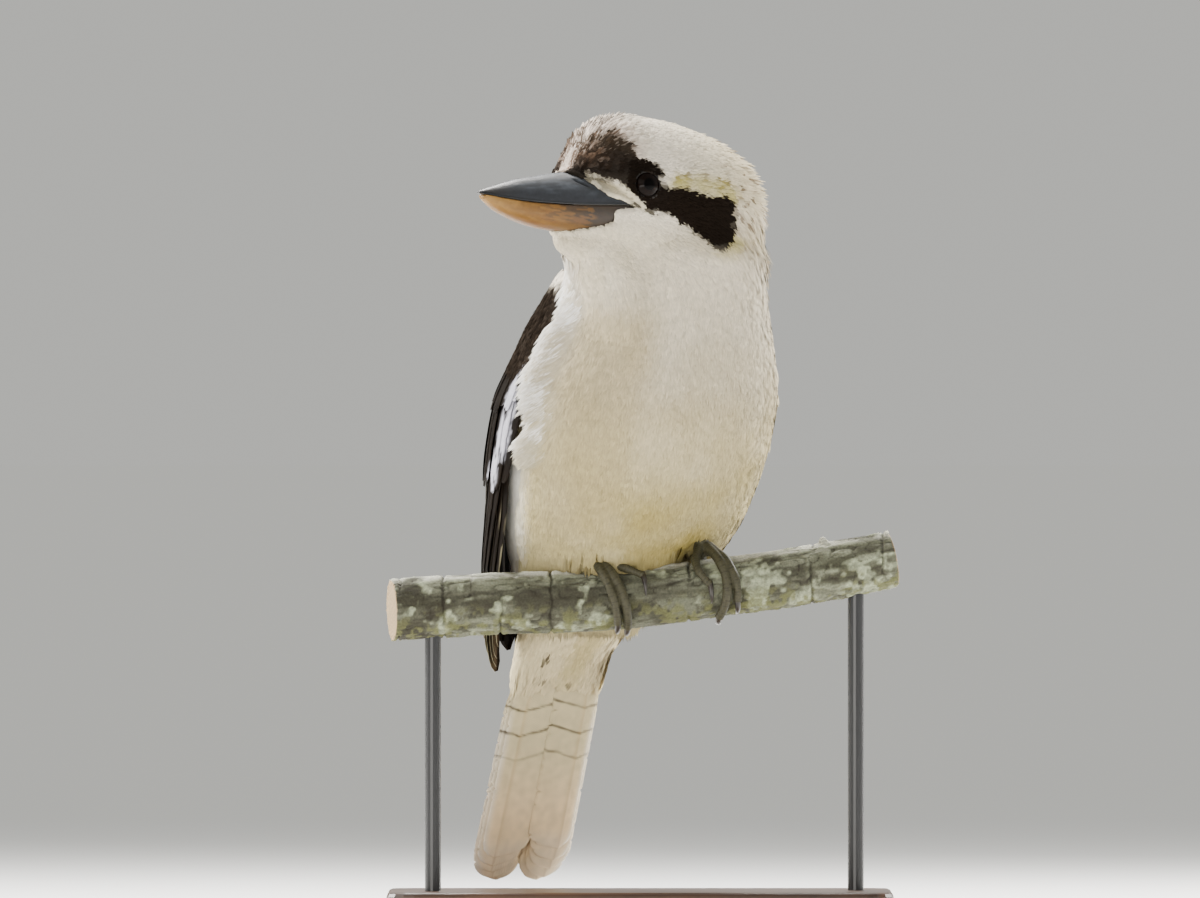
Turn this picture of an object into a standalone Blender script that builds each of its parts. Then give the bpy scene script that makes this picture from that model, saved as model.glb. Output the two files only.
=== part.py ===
"""A laughing kookaburra at life size, perched on a cut length of branch that a plain display stand holds up.

Metres, +Z up. The origin is the middle of the stand base's underside. The bird looks towards -Y: its breast is
turned BODY_YAW to +X, and its head is turned the other way, towards -X.
"""

import math
import random

import bmesh
import bpy
import numpy as np
from mathutils import Matrix, Vector, noise
from mathutils.bvhtree import BVHTree

# Driving sizes of the bird
BODY_YAW = math.radians(34)
BODY_X = 0.0008
HEAD_YAW = math.radians(47)  # the bill points this far towards -Y from -X
HEAD_PITCH = math.radians(4)
BILL_TIP = Vector((-0.0700, -0.1083, 0.3230))
EYE_RADIUS = 0.0080
EYE_SHOWN_RADIUS = 0.0057
TOE_RADIUS = 0.0022
LEG_RADIUS = 0.0033
LEG_RISE = 0.0200
TOE_ROOM = 0.0046  # how far the belly stays off the perch

# Driving sizes of the perch and the stand
PERCH_YAW_SLOPE = 0.176
PERCH_LOW_X, PERCH_HIGH_X = -0.108, 0.110
STAND_SIZE = Vector((0.220, 0.160, 0.020))
STAND_ROD_RADIUS = 0.0035
STAND_ROD_XS = {"left": -0.090, "right": 0.094}
ROD_SOCKET_DEPTH = 0.006

GAP = 0.0003
COVER_GAP = 0.00035
VANE_THICKNESS = 0.0007
BODY_TRIANGLES = 1720

FORWARD = Vector((math.sin(BODY_YAW), -math.cos(BODY_YAW), 0))
LEFTWARD = Vector((math.cos(BODY_YAW), math.sin(BODY_YAW), 0))
UP = Vector((0, 0, 1))
BILL_WAY = Vector(
    (
        -math.cos(HEAD_YAW) * math.cos(HEAD_PITCH),
        -math.sin(HEAD_YAW) * math.cos(HEAD_PITCH),
        math.sin(HEAD_PITCH),
    )
)
HEAD_LEFT = Vector((math.sin(HEAD_YAW), -math.cos(HEAD_YAW), 0))
HEAD_UP = BILL_WAY.cross(HEAD_LEFT)

# Level sections of the body with its coat: height, half width, half depth, and the middle's place forward.
BODY_SECTIONS = (
    (0.3080, 0.0360, 0.0350, 0.0240),
    (0.3000, 0.0422, 0.0402, 0.0214),
    (0.2890, 0.0432, 0.0412, 0.0179),
    (0.2780, 0.0460, 0.0437, 0.0143),
    (0.2640, 0.0513, 0.0472, 0.0098),
    (0.2510, 0.0552, 0.0508, 0.0056),
    (0.2335, 0.0597, 0.0550, 0.0000),
    (0.2160, 0.0596, 0.0548, -0.0056),
    (0.2020, 0.0583, 0.0536, -0.0101),
    (0.1890, 0.0557, 0.0510, -0.0143),
    (0.1770, 0.0530, 0.0478, -0.0190),
    (0.1670, 0.0485, 0.0428, -0.0240),
    (0.1580, 0.0420, 0.0360, -0.0315),
    (0.1480, 0.0322, 0.0270, -0.0405),
    (0.1380, 0.0262, 0.0210, -0.0482),
    (0.1280, 0.0234, 0.0160, -0.0545),
    (0.1180, 0.0226, 0.0118, -0.0590),
)
# The folded wings' sheath, which stands a little off the body lower down.
WING_SECTIONS = (
    (0.3000, 0.0427, 0.0407, 0.0214),
    (0.2890, 0.0440, 0.0420, 0.0179),
    (0.2780, 0.0468, 0.0445, 0.0143),
    (0.2640, 0.0517, 0.0477, 0.0098),
    (0.2510, 0.0557, 0.0513, 0.0056),
    (0.2335, 0.0602, 0.0554, 0.0000),
    (0.2160, 0.0605, 0.0556, -0.0056),
    (0.2020, 0.0594, 0.0546, -0.0101),
    (0.1890, 0.0577, 0.0530, -0.0143),
    (0.1770, 0.0563, 0.0517, -0.0182),
    (0.1600, 0.0540, 0.0496, -0.0237),
    (0.1450, 0.0508, 0.0467, -0.0285),
    (0.1310, 0.0468, 0.0430, -0.0330),
    (0.1150, 0.0412, 0.0380, -0.0382),
    (0.1050, 0.0380, 0.0352, -0.0414),
)
# Sections of the feathered head: place behind the bill's tip, half width, top and underside.
HEAD_SECTIONS = (
    (0.0560, 0.0105, 0.0135, -0.0130),
    (0.0600, 0.0140, 0.0208, -0.0145),
    (0.0640, 0.0168, 0.0268, -0.0160),
    (0.0700, 0.0202, 0.0334, -0.0185),
    (0.0780, 0.0232, 0.0384, -0.0220),
    (0.0860, 0.0256, 0.0406, -0.0250),
    (0.0940, 0.0286, 0.0407, -0.0275),
    (0.1040, 0.0327, 0.0400, -0.0295),
    (0.1140, 0.0357, 0.0388, -0.0310),
    (0.1260, 0.0370, 0.0361, -0.0310),
    (0.1380, 0.0354, 0.0320, -0.0300),
    (0.1480, 0.0303, 0.0255, -0.0270),
    (0.1550, 0.0225, 0.0175, -0.0210),
    (0.1595, 0.0110, 0.0080, -0.0120),
)
# Sections of the bill: place behind the tip, half width at the mouth, ridge, keel and the mouth's height.
BILL_SECTIONS = (
    (0.0000, 0.0007, 0.0006, -0.0008, -0.0003),
    (0.0035, 0.0026, 0.0019, -0.0030, -0.0006),
    (0.0090, 0.0046, 0.0036, -0.0059, -0.0012),
    (0.0220, 0.0082, 0.0073, -0.0098, -0.0020),
    (0.0360, 0.0114, 0.0101, -0.0122, -0.0020),
    (0.0500, 0.0140, 0.0124, -0.0130, -0.0016),
    (0.0600, 0.0161, 0.0134, -0.0128, -0.0010),
    (0.0680, 0.0187, 0.0118, -0.0122, -0.0004),
    (0.0740, 0.0208, 0.0082, -0.0105, 0.0000),
    (0.0780, 0.0216, 0.0050, -0.0090, 0.0000),
    (0.0810, 0.0196, 0.0026, -0.0060, 0.0000),
)
LOWER_BILL_START, LOWER_BILL_END = 0.0030, 0.0745
# The perch's middle line and radius at a few places along X.
PERCH_STATIONS = (
    (-0.1080, 0.1420, 0.0138),
    (-0.0696, 0.1448, 0.0135),
    (-0.0348, 0.1458, 0.0136),
    (0.0043, 0.1483, 0.0134),
    (0.0383, 0.1525, 0.0128),
    (0.0696, 0.1567, 0.0129),
    (0.0913, 0.1607, 0.0128),
    (0.1130, 0.1650, 0.0122),
)
FOOT_XS = {"right": -0.0215, "left": 0.0292}


def between(stations, place):
    """The stations' other columns at a place in their first column, on one smooth curve."""
    table = np.array(sorted(stations))
    xs, rows = table[:, 0], table[:, 1:]
    place = min(max(place, xs[0]), xs[-1])
    slopes = np.gradient(rows, xs, axis=0)
    i = min(int(np.searchsorted(xs, place, side="right")) - 1, len(xs) - 2)
    step = xs[i + 1] - xs[i]
    t = (place - xs[i]) / step
    return (
        rows[i] * (2 * t**3 - 3 * t**2 + 1)
        + slopes[i] * step * (t**3 - 2 * t**2 + t)
        + rows[i + 1] * (3 * t**2 - 2 * t**3)
        + slopes[i + 1] * step * (t**3 - t**2)
    )


def smoothstep(low, high, x):
    t = min(max((x - low) / (high - low), 0.0), 1.0)
    return t * t * (3 - 2 * t)


def in_body(forward, left, z):
    """A point given from the body's own middle, forward and left of it."""
    return Vector((BODY_X, 0, z)) + FORWARD * forward + LEFTWARD * left


def in_head(back, left, up):
    """A point given from the bill's tip: back along the bill, left and up."""
    return BILL_TIP - BILL_WAY * back + HEAD_LEFT * left + HEAD_UP * up


def signed_power(x, power):
    return math.copysign(abs(x) ** power, x)


def mesh_object(name, points, faces):
    mesh = bpy.data.meshes.new(name)
    mesh.from_pydata([tuple(p) for p in points], [], faces)
    mesh.update()
    made = bpy.data.objects.new(name, mesh)
    bpy.context.scene.collection.objects.link(made)
    return made


def facing_out(obj):
    """Turns the faces of a closed mesh outwards."""
    work = bmesh.new()
    work.from_mesh(obj.data)
    bmesh.ops.remove_doubles(work, verts=work.verts, dist=1e-7)
    bmesh.ops.recalc_face_normals(work, faces=work.faces)
    if work.calc_volume(signed=True) < 0:
        bmesh.ops.reverse_faces(work, faces=work.faces)
    work.to_mesh(obj.data)
    work.free()
    return obj


def loft(name, rings):
    """A closed skin through rings of equal count, with a fan of triangles over each end."""
    count = len(rings[0])
    points = [p for ring in rings for p in ring]
    faces = []
    for i in range(len(rings) - 1):
        for j in range(count):
            k = (j + 1) % count
            a, b = i * count + j, i * count + k
            faces.append((a, b, b + count))
            faces.append((a, b + count, a + count))
    for ring, first in ((rings[0], 0), (rings[-1], (len(rings) - 1) * count)):
        points.append(sum(ring, Vector()) / count)
        middle = len(points) - 1
        for j in range(count):
            faces.append((first + j, first + (j + 1) % count, middle))
    return facing_out(mesh_object(name, points, faces))


def ellipsoid(name, centre, axes, radii, segments=16, rings=10):
    """A ball stretched along three directions."""
    mesh = bpy.data.meshes.new(name)
    work = bmesh.new()
    bmesh.ops.create_uvsphere(work, u_segments=segments, v_segments=rings, radius=1.0)
    turn = Matrix([axis * radius for axis, radius in zip(axes, radii)]).transposed()
    for vert in work.verts:
        vert.co = turn @ vert.co + centre
    work.to_mesh(mesh)
    work.free()
    made = bpy.data.objects.new(name, mesh)
    bpy.context.scene.collection.objects.link(made)
    return facing_out(made)


def tube(name, points, radii, sides=10):
    """A round rod of changing radius along a few points, with closed ends."""
    rings = []
    for i, point in enumerate(points):
        ahead = points[min(i + 1, len(points) - 1)] - points[max(i - 1, 0)]
        ahead.normalize()
        side = ahead.cross(UP if abs(ahead.z) < 0.9 else FORWARD).normalized()
        over = side.cross(ahead)
        rings.append(
            [
                point
                + (side * math.cos(a) + over * math.sin(a)) * radii[i]
                for a in (2 * math.pi * j / sides for j in range(sides))
            ]
        )
    return loft(name, rings)


def apply_modifier(obj, kind, **settings):
    modifier = obj.modifiers.new(kind.lower(), kind)
    for key, value in settings.items():
        setattr(modifier, key, value)
    graph = bpy.context.evaluated_depsgraph_get()
    made = bpy.data.meshes.new_from_object(obj.evaluated_get(graph))
    obj.modifiers.clear()
    old = obj.data
    obj.data = made
    bpy.data.meshes.remove(old)
    return obj


def combine(target, others, operation, solver="MANIFOLD"):
    """Joins closed meshes to the target, or cuts them from it, and removes them."""
    group = bpy.data.collections.new("joined")
    for other in others:
        for holder in list(other.users_collection):
            holder.objects.unlink(other)
        group.objects.link(other)
    bpy.context.scene.collection.children.link(group)
    bpy.context.view_layer.update()
    apply_modifier(
        target,
        "BOOLEAN",
        operation=operation,
        operand_type="COLLECTION",
        collection=group,
        solver=solver,
    )
    for other in list(group.objects):
        bpy.data.objects.remove(other)
    bpy.data.collections.remove(group)
    return target


def keep_largest(obj):
    """Leaves only the largest closed surface."""
    work = bmesh.new()
    work.from_mesh(obj.data)
    left = set(work.verts)
    groups = []
    while left:
        todo = [left.pop()]
        found = set(todo)
        while todo:
            for edge in todo.pop().link_edges:
                for vert in edge.verts:
                    if vert in left:
                        left.remove(vert)
                        found.add(vert)
                        todo.append(vert)
        groups.append(found)

    def extent(group):
        spans = [[v.co[k] for v in group] for k in range(3)]
        return math.prod(max(s) - min(s) for s in spans)

    groups.sort(key=extent)
    spare = [vert for group in groups[:-1] for vert in group]
    bmesh.ops.delete(work, geom=spare, context="VERTS")
    work.to_mesh(obj.data)
    work.free()
    return obj


def copy_of(obj, name, grown=0.0):
    """A copy, with its surface moved out by the given distance."""
    made = bpy.data.objects.new(name, obj.data.copy())
    bpy.context.scene.collection.objects.link(made)
    if grown:
        normals = [vert.normal.copy() for vert in made.data.vertices]
        for vert, normal in zip(made.data.vertices, normals):
            vert.co += normal * grown
        made.data.update()
    return made


def big_box(name, low, high):
    bpy.ops.mesh.primitive_cube_add(size=1)
    made = bpy.context.active_object
    made.name = name
    low, high = Vector(low), Vector(high)
    for vert in made.data.vertices:
        vert.co = (low + high) / 2 + vert.co * (high - low)
    return made


def finish(obj, name, colour, roughness=0.8):
    obj.name = name
    obj.data.name = name
    paint = bpy.data.materials.new(name)
    paint.use_nodes = True
    shader = paint.node_tree.nodes["Principled BSDF"]
    shader.inputs["Base Color"].default_value = (*colour, 1)
    shader.inputs["Roughness"].default_value = roughness
    obj.data.materials.clear()
    obj.data.materials.append(paint)
    obj.data.shade_smooth()
    obj.data.set_sharp_from_angle(angle=math.radians(35))
    return obj


# The body
def body_ring(sections, z, grown=0.0, power=2.15, count=40):
    half_width, half_depth, forward = between(sections, z)
    ring = []
    for j in range(count):
        a = 2 * math.pi * j / count
        across = signed_power(math.sin(a), 2 / power) * (half_width + grown)
        ahead = signed_power(math.cos(a), 2 / power) * (half_depth + grown)
        ring.append(in_body(forward + ahead, across, z))
    return ring


def head_ring(back, count=36):
    half_width, top, underside = between(HEAD_SECTIONS, back)
    middle, half_height = (top + underside) / 2, (top - underside) / 2
    ring = []
    for j in range(count):
        a = 2 * math.pi * j / count
        across = signed_power(math.sin(a), 2 / 2.25) * half_width
        up = middle + signed_power(math.cos(a), 2 / 2.25) * half_height
        ring.append(in_head(back, across, up))
    return ring


def whole_body():
    """Torso, neck and head as one smooth form, before it is parted."""
    heights = np.linspace(BODY_SECTIONS[-1][0], BODY_SECTIONS[0][0], 34)
    trunk = loft("trunk", [body_ring(BODY_SECTIONS, z) for z in heights])
    backs = np.linspace(HEAD_SECTIONS[0][0], HEAD_SECTIONS[-1][0], 26)
    skull = loft("skull", [head_ring(s) for s in backs])
    chin = ellipsoid(
        "chin",
        in_head(0.0665, 0, -0.0160),
        (BILL_WAY, HEAD_LEFT, HEAD_UP),
        (0.0160, 0.0100, 0.0085),
    )
    high, low = in_head(0.070, 0, -0.0120), Vector((0.0040, -0.0280, 0.2600))
    ways = [high + (low - high) * t for t in (0.0, 0.25, 0.6, 1.0)]
    throat = tube("throat", ways, (0.0125, 0.0155, 0.0215, 0.0300), 20)
    body = combine(trunk, [skull, chin, throat], "UNION")
    apply_modifier(body, "REMESH", mode="VOXEL", voxel_size=0.0022)
    apply_modifier(body, "SMOOTH", factor=0.5, iterations=8)
    apply_modifier(body, "DECIMATE", ratio=BODY_TRIANGLES / (2 * len(body.data.polygons)))
    return facing_out(body)


HEAD_CUT_Z, NECK_CUT_Z, TAIL_CUT_Z = 0.2960, 0.2700, 0.1385


def part_body(body):
    """Cuts the body into head, neck and torso with thin level cuts."""
    parts = {}
    for name, low, high in (
        ("head", HEAD_CUT_Z + GAP, 0.5),
        ("neck", NECK_CUT_Z + GAP, HEAD_CUT_Z),
        ("torso", TAIL_CUT_Z + GAP, NECK_CUT_Z),
    ):
        part = copy_of(body, name)
        combine(part, [big_box("band", (-0.3, -0.3, low), (0.3, 0.3, high))], "INTERSECT")
        parts[name] = keep_largest(part)
    return parts


# The bill
def bill_ring(back, upper, grown=0.0, count=12):
    """Half a section of the bill, above or below the line of the mouth, closed by that line."""
    half_width, ridge, keel, mouth = between(BILL_SECTIONS, back)
    edge = mouth + (GAP / 2 if upper else -GAP / 2)
    rim = (ridge - edge) if upper else (keel - edge)
    power = 1.75 if upper else 2.5
    if not upper:
        half_width -= 0.0004 * min(1.0, back / 0.01)
    flat = []
    for j in range(count + 1):
        a = math.pi * j / count
        across = signed_power(math.cos(a), 2 / power) * half_width
        flat.append(Vector((across, edge + signed_power(math.sin(a), 2 / power) * rim)))
    flat.extend(Vector((share * half_width, edge)) for share in (-0.5, 0.0, 0.5))
    turn = 1 if upper else -1
    ring = []
    for i, point in enumerate(flat):
        before = (point - flat[i - 1]).normalized()
        after = (flat[(i + 1) % len(flat)] - point).normalized()
        out = Vector((before.y + after.y, -before.x - after.x)).normalized() * turn
        spread_by = 1 / max(0.5, out.dot(Vector((before.y, -before.x)) * turn))
        moved = point + out * (grown * spread_by)
        ring.append(in_head(back, moved.x, moved.y))
    return ring


def bill_half(name, upper, grown=0.0):
    start = 0.0 if upper else LOWER_BILL_START
    end = BILL_SECTIONS[-1][0] if upper else LOWER_BILL_END
    places = [start + (end - start) * t**1.25 for t in np.linspace(0, 1, 15)]
    rings = [bill_ring(s, upper, grown) for s in places]
    if grown:
        rings.append([p - BILL_WAY * grown for p in rings[-1]])
    return loft(name, rings)


def bare_bill_room():
    """Room round the bare part of the bill, so that the feathers end on clean lines over its root."""
    rooms = []
    for upper in (True, False):
        rings = []
        for back in (0.030, 0.045, 0.058, 0.068, 0.0740):
            half_width, ridge, keel, mouth = between(BILL_SECTIONS, back)
            rim = ridge - mouth + 0.004 if upper else keel - mouth + 0.0005
            ring = []
            for j in range(11):
                a = math.pi * j / 10
                across = signed_power(math.cos(a), 0.8) * (half_width + (0.004 if upper else 0.003))
                up = signed_power(math.sin(a), 0.8) * rim
                slope = 1.25 * max(0.0, up - 0.002) if upper else 0.0
                ring.append(in_head(back + (0.004 if upper else -0.0005) - slope, across, mouth + up))
            ring.append(in_head(back, 0, mouth - (0.0015 if upper else -0.0015)))
            rings.append(ring)
        rooms.append(loft("room", rings))
    return rooms


def nostril(side):
    return ellipsoid(
        "nostril",
        in_head(0.0530, side * 0.0112, 0.0068),
        (BILL_WAY, HEAD_LEFT, HEAD_UP),
        (0.0026, 0.0012, 0.0008),
        8,
        6,
    )


# The eyes
def surface_along(obj, start, way):
    """The farthest place where a ray leaves the surface."""
    tree = BVHTree.FromObject(obj, bpy.context.evaluated_depsgraph_get())
    hit = tree.ray_cast(start + way * 0.1, -way)
    return hit[0]


def eye_frame(head, side):
    """The eyeball's middle and the way it looks, set so that its clear cap stands just out of the lids."""
    way = (HEAD_LEFT * side + BILL_WAY * 0.48 + HEAD_UP * 0.06).normalized()
    inner = in_head(0.0896, side * 0.006, 0.0083)
    skin = surface_along(head, inner, way)
    depth = math.sqrt(EYE_RADIUS**2 - EYE_SHOWN_RADIUS**2)
    return skin - way * (depth - 0.0003), way


def eyelids(centre, way):
    """The ring of both lids round the eye."""
    across = way.cross(HEAD_UP).normalized()
    over = across.cross(way)
    depth = math.sqrt(EYE_RADIUS**2 - EYE_SHOWN_RADIUS**2)
    middle = centre + way * (depth + 0.0001)
    rings = []
    for i in range(16):
        a = 2 * math.pi * i / 16
        out = across * math.cos(a) + over * math.sin(a) * 0.93
        spot = middle + out * (EYE_SHOWN_RADIUS + 0.0007)
        rings.append(
            [
                spot + (out * math.cos(b) + way * math.sin(b)) * 0.0010
                for b in (2 * math.pi * j / 6 for j in range(6))
            ]
        )
    points = [p for ring in rings for p in ring]
    faces = []
    for i in range(16):
        for j in range(6):
            a, b = i * 6 + j, i * 6 + (j + 1) % 6
            c, d = ((i + 1) % 16) * 6 + (j + 1) % 6, ((i + 1) % 16) * 6 + j
            faces.append((a, b, c, d))
    return facing_out(mesh_object("lids", points, faces))


# Vanes: flight feathers, tail feathers and wing coverts
VANE_OUTLINE = ((0.0, 0.60), (0.30, 1.0), (0.68, 1.0), (0.90, 0.82), (1.0, 0.40))


def vane(name, line, side, face, half_width, thickness=VANE_THICKNESS):
    """One feather's vane. line, side and face are functions of the share of its length, from root to tip."""
    upper, lower = [], []
    for share, breadth in VANE_OUTLINE:
        middle, across, out = line(share), side(share), face(share)
        thick = thickness * (0.5 if share < 0.95 else 0.32)
        for place in (-1, 1):
            point = middle + across * (place * half_width * breadth)
            upper.append(point + out * thick)
            lower.append(point - out * thick)
    count, below, faces = len(VANE_OUTLINE), len(upper), []
    for i in range(count - 1):
        a, b, c, d = i * 2, i * 2 + 1, i * 2 + 3, i * 2 + 2
        for tri in ((a, b, c), (a, c, d)):
            faces.append(tri)
            faces.append(tuple(below + k for k in reversed(tri)))
    rim = [i * 2 for i in range(count)] + [i * 2 + 1 for i in reversed(range(count))]
    for a, b in zip(rim, rim[1:] + rim[:1]):
        faces.append((a, below + a, below + b))
        faces.append((a, below + b, b))
    return facing_out(mesh_object(name, upper + lower, faces))


# The wings
def sheath_point(side, z, angle, height):
    """A point on a folded wing's sheath: angle is from the breast round to the back, height is off the sheath."""
    half_width, half_depth, forward = between(WING_SECTIONS, z)
    a = math.radians(angle)
    across = signed_power(math.sin(a), 2 / 2.15) * (half_width + height)
    ahead = signed_power(math.cos(a), 2 / 2.15) * (half_depth + height)
    return in_body(forward + ahead, side * across, z)


def sheath_frame(side, z, angle, height):
    """The directions round the body towards the back, and out of the wing."""
    here = sheath_point(side, z, angle, height)
    backward = (sheath_point(side, z, angle + 0.5, height) - here).normalized()
    out = (sheath_point(side, z, angle, height + 0.001) - here).normalized()
    return backward, out


def turned(angle, turn):
    """The angle moved towards the back by a share of the turn, less the nearer it is to the back."""
    return angle + turn * min(max((166 - angle) / 78, 0.0), 1.0)


def wing_vane(side, root, tip, half_width, height, tilt):
    """A wing feather from root to tip, each (height above the floor, angle); its back edge dips under the next one."""

    def place(share):
        return root[0] + (tip[0] - root[0]) * share, root[1] + (tip[1] - root[1]) * share

    def line(share):
        return sheath_point(side, *place(share), height)

    def ahead(share):
        return (line(min(share + 0.05, 1.0)) - line(max(share - 0.05, 0.0))).normalized()

    def across(share):
        backward, out = sheath_frame(side, *place(share), height)
        flat = backward - ahead(share) * backward.dot(ahead(share))
        return (flat.normalized() - out * tilt).normalized()

    def face(share):
        return across(share).cross(ahead(share)).normalized() * -side

    return vane("vane", line, across, face, half_width)


def spread(count, first, last):
    """Evenly spaced values with their share of the way."""
    for i in range(count):
        share = i / (count - 1)
        yield share, first + (last - first) * share


# Rows of wing feathers: root height, root angles, tips as (height, angle) from the breast's side to the
# back's, half width, height off the sheath at both ends of the row, and how far a raised wing lifts the tips.
WING_ROWS = (
    (
        0.2050,
        (93, 122),
        ((0.1260, 103), (0.1185, 112), (0.1150, 121), (0.1220, 130), (0.1340, 139)),
        0.0062,
        (0.0008, 0.0012),
        0.0230,
    ),
    (
        0.2240,
        (101, 146),
        ((0.1560, 115), (0.1490, 126), (0.1420, 137), (0.1330, 147), (0.1240, 157)),
        0.0080,
        (0.0020, 0.0024),
        0.0200,
    ),
    (0.2330, (144, 160), ((0.1600, 150), (0.1680, 163)), 0.0096, (0.0034, 0.0038), 0.0080),
    (
        0.2430,
        (93, 148),
        ((0.2040, 95), (0.2030, 109), (0.2040, 123), (0.2060, 137), (0.2090, 151)),
        0.0094,
        (0.0028, 0.0046),
        0.0030,
    ),
    (
        0.2640,
        (92, 140),
        ((0.2310, 94), (0.2300, 110), (0.2320, 127), (0.2350, 145)),
        0.0104,
        (0.0040, 0.0050),
        0.0020,
    ),
)
LEFT_WING_TURN = 11  # degrees: the left wing lies this much nearer the back at its leading edge


def wing_core(side, turn):
    """The arm and hand of the folded wing under its small coverts, sunk into the body for the cut that follows."""
    rings = []
    for share, z in spread(13, 0.2900, 0.1850):
        lead = turned(76 + 12 * share, turn)
        trail = 128 + 34 * smoothstep(0.0, 0.35, share) - 20 * smoothstep(0.7, 1.0, share)
        swell = smoothstep(-0.25, 0.30, share)
        thick = 0.0052 * swell * (1 - 0.90 * smoothstep(0.20, 0.85, share))
        sunk = 0.0030 if share < 0.75 else 0.0014
        ring = []
        for j in range(9):
            t = j / 8
            bulge = (1 - abs(2 * t - 1) ** 3.0) ** 0.6
            ring.append(sheath_point(side, z, lead + (trail - lead) * t, 0.0003 + thick * bulge))
        for j in range(6, -1, -1):
            ring.append(sheath_point(side, z, lead + (trail - lead) * j / 6, -sunk))
        rings.append(ring)
    return loft("core", rings)


def wing(name, side, turn, raised, room):
    chance = random.Random(11 + side)
    pieces = []
    for root_z, root_angles, tips, half_width, heights, lift in WING_ROWS:
        for i, (tip_z, tip_angle) in enumerate(tips):
            share = i / (len(tips) - 1)
            root_angle = root_angles[0] + (root_angles[1] - root_angles[0]) * share
            root = (root_z, turned(root_angle, turn))
            tip = (tip_z + raised * lift + chance.uniform(-0.0008, 0.0008), turned(tip_angle, turn))
            height = heights[0] + (heights[1] - heights[0]) * share
            pieces.append(wing_vane(side, root, tip, half_width, height, 0.05))
    core = combine(wing_core(side, turn), room, "DIFFERENCE")
    keep_largest(core)
    combine(core, pieces, "UNION")
    keep_largest(core)
    return finish(core, name, (0.07, 0.05, 0.04))


# The tail
TAIL_FEATHERS = (
    # sideways at the root, sideways at the tip, half width, how much shorter, from the middle pair outwards
    (0.0020, 0.0085, 0.0102, 0.003),
    (0.0050, 0.0115, 0.0100, 0.000),
    (0.0085, 0.0145, 0.0098, 0.001),
    (0.0120, 0.0165, 0.0092, 0.004),
    (0.0145, 0.0158, 0.0088, 0.008),
    (0.0150, 0.0130, 0.0090, 0.014),
)
TAIL_ROOT_Z, TAIL_TIP_Z = 0.1320, 0.0240
TAIL_DROP = 0.36  # how far back the tail goes for each metre down
TAIL_LAYER = 0.00085
TAIL_SWING = -0.0035  # the tail lies this far to the bird's right


def tail_line(z):
    """How far forward the tail's middle line is at a height."""
    return -0.0555 + (z - 0.131) * TAIL_DROP


def tail_vane(side, rank, row):
    root_side, tip_side, half_width, shorter = row
    down = (FORWARD * -TAIL_DROP - UP).normalized()
    out = LEFTWARD.cross(down).normalized()
    if out.dot(FORWARD) < 0:
        out = -out
    tip_z = TAIL_TIP_Z + shorter * (1.35 if side > 0 else 1.0)
    layer = rank * TAIL_LAYER + (0.0004 if side > 0 else 0.0)

    def line(share):
        z = TAIL_ROOT_Z + (tip_z - TAIL_ROOT_Z) * share
        sideways = TAIL_SWING * smoothstep(0, 0.3, share) + side * (
            root_side + (tip_side - root_side) * share
        )
        return in_body(tail_line(z), sideways, z) + out * layer

    def across(_share):
        return (LEFTWARD - out * (0.05 * side)).normalized()

    def face(share):
        ahead = (line(min(share + 0.05, 1.0)) - line(max(share - 0.05, 0.0))).normalized()
        return ahead.cross(across(share)).normalized()

    return vane("vane", line, across, face, half_width)


def tail():
    """The rump and the coverts round the tail's root, and its twelve feathers."""
    rings = []
    for _, z in spread(11, TAIL_CUT_Z, 0.0920):
        half_width, half_depth, forward = between(BODY_SECTIONS, max(z, 0.118))
        down = smoothstep(0.0, 1.0, (TAIL_CUT_Z - z) / 0.018)
        thin = smoothstep(0.0, 1.0, (0.128 - z) / 0.036)
        middle = tail_line(z) + 0.0015
        forward += (middle - forward) * down
        half_depth = half_depth * (1 - 0.88 * thin) + 0.0012
        half_width = half_width + (0.0225 - half_width) * smoothstep(0, 1, (0.124 - z) / 0.02)
        half_width *= 1 - 0.25 * smoothstep(0, 1, (0.108 - z) / 0.016)
        ring = []
        for j in range(24):
            a = 2 * math.pi * j / 24
            across = signed_power(math.sin(a), 2 / 2.15) * half_width
            ahead = signed_power(math.cos(a), 2 / 2.15) * half_depth
            ring.append(in_body(forward + ahead, TAIL_SWING * down + across, z))
        rings.append(ring)
    root = loft("coverts", rings)
    vanes = [
        tail_vane(side, rank, row)
        for rank, row in enumerate(TAIL_FEATHERS)
        for side in (-1, 1)
    ]
    combine(root, vanes, "UNION")
    keep_largest(root)
    return finish(root, "tail", (0.75, 0.66, 0.52))


# The perch
def perch_middle(x):
    z, radius = between(PERCH_STATIONS, x)
    return Vector((x, -0.0104 + PERCH_YAW_SLOPE * (x - 0.0078), z)), radius


def perch_frame(x):
    """The perch's own directions: along it, up, and to the front."""
    along = (perch_middle(x + 0.002)[0] - perch_middle(x - 0.002)[0]).normalized()
    up = (UP - along * along.z).normalized()
    return along, up, up.cross(along) * -1


def perch():
    rings = []
    count = 14
    for _, x in spread(22, PERCH_LOW_X, PERCH_HIGH_X):
        middle, radius = perch_middle(x)
        _, up, front = perch_frame(x)
        ring = []
        for j in range(count):
            a = 2 * math.pi * j / count
            way = front * math.cos(a) + up * math.sin(a)
            rough = noise.noise(Vector((x * 45, math.cos(a) * 1.6, math.sin(a) * 1.6)))
            fine = noise.noise(Vector((x * 160, math.cos(a) * 4 + 7, math.sin(a) * 4)))
            ring.append(middle + way * (radius * (1 + 0.035 * rough + 0.02 * fine)))
        rings.append(ring)
    branch = loft("perch", rings)
    snag_x = 0.0850
    middle, radius = perch_middle(snag_x)
    _, up, front = perch_frame(snag_x)
    out = (up * 0.95 + front * 0.2 + Vector((-0.25, 0, 0))).normalized()
    points = [middle + out * (radius * t) for t in (0.3, 0.95, 1.22)]
    knot = tube("knot", points, (0.0042, 0.0026, 0.0012), 8)
    combine(branch, [knot], "UNION")
    return branch


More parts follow.
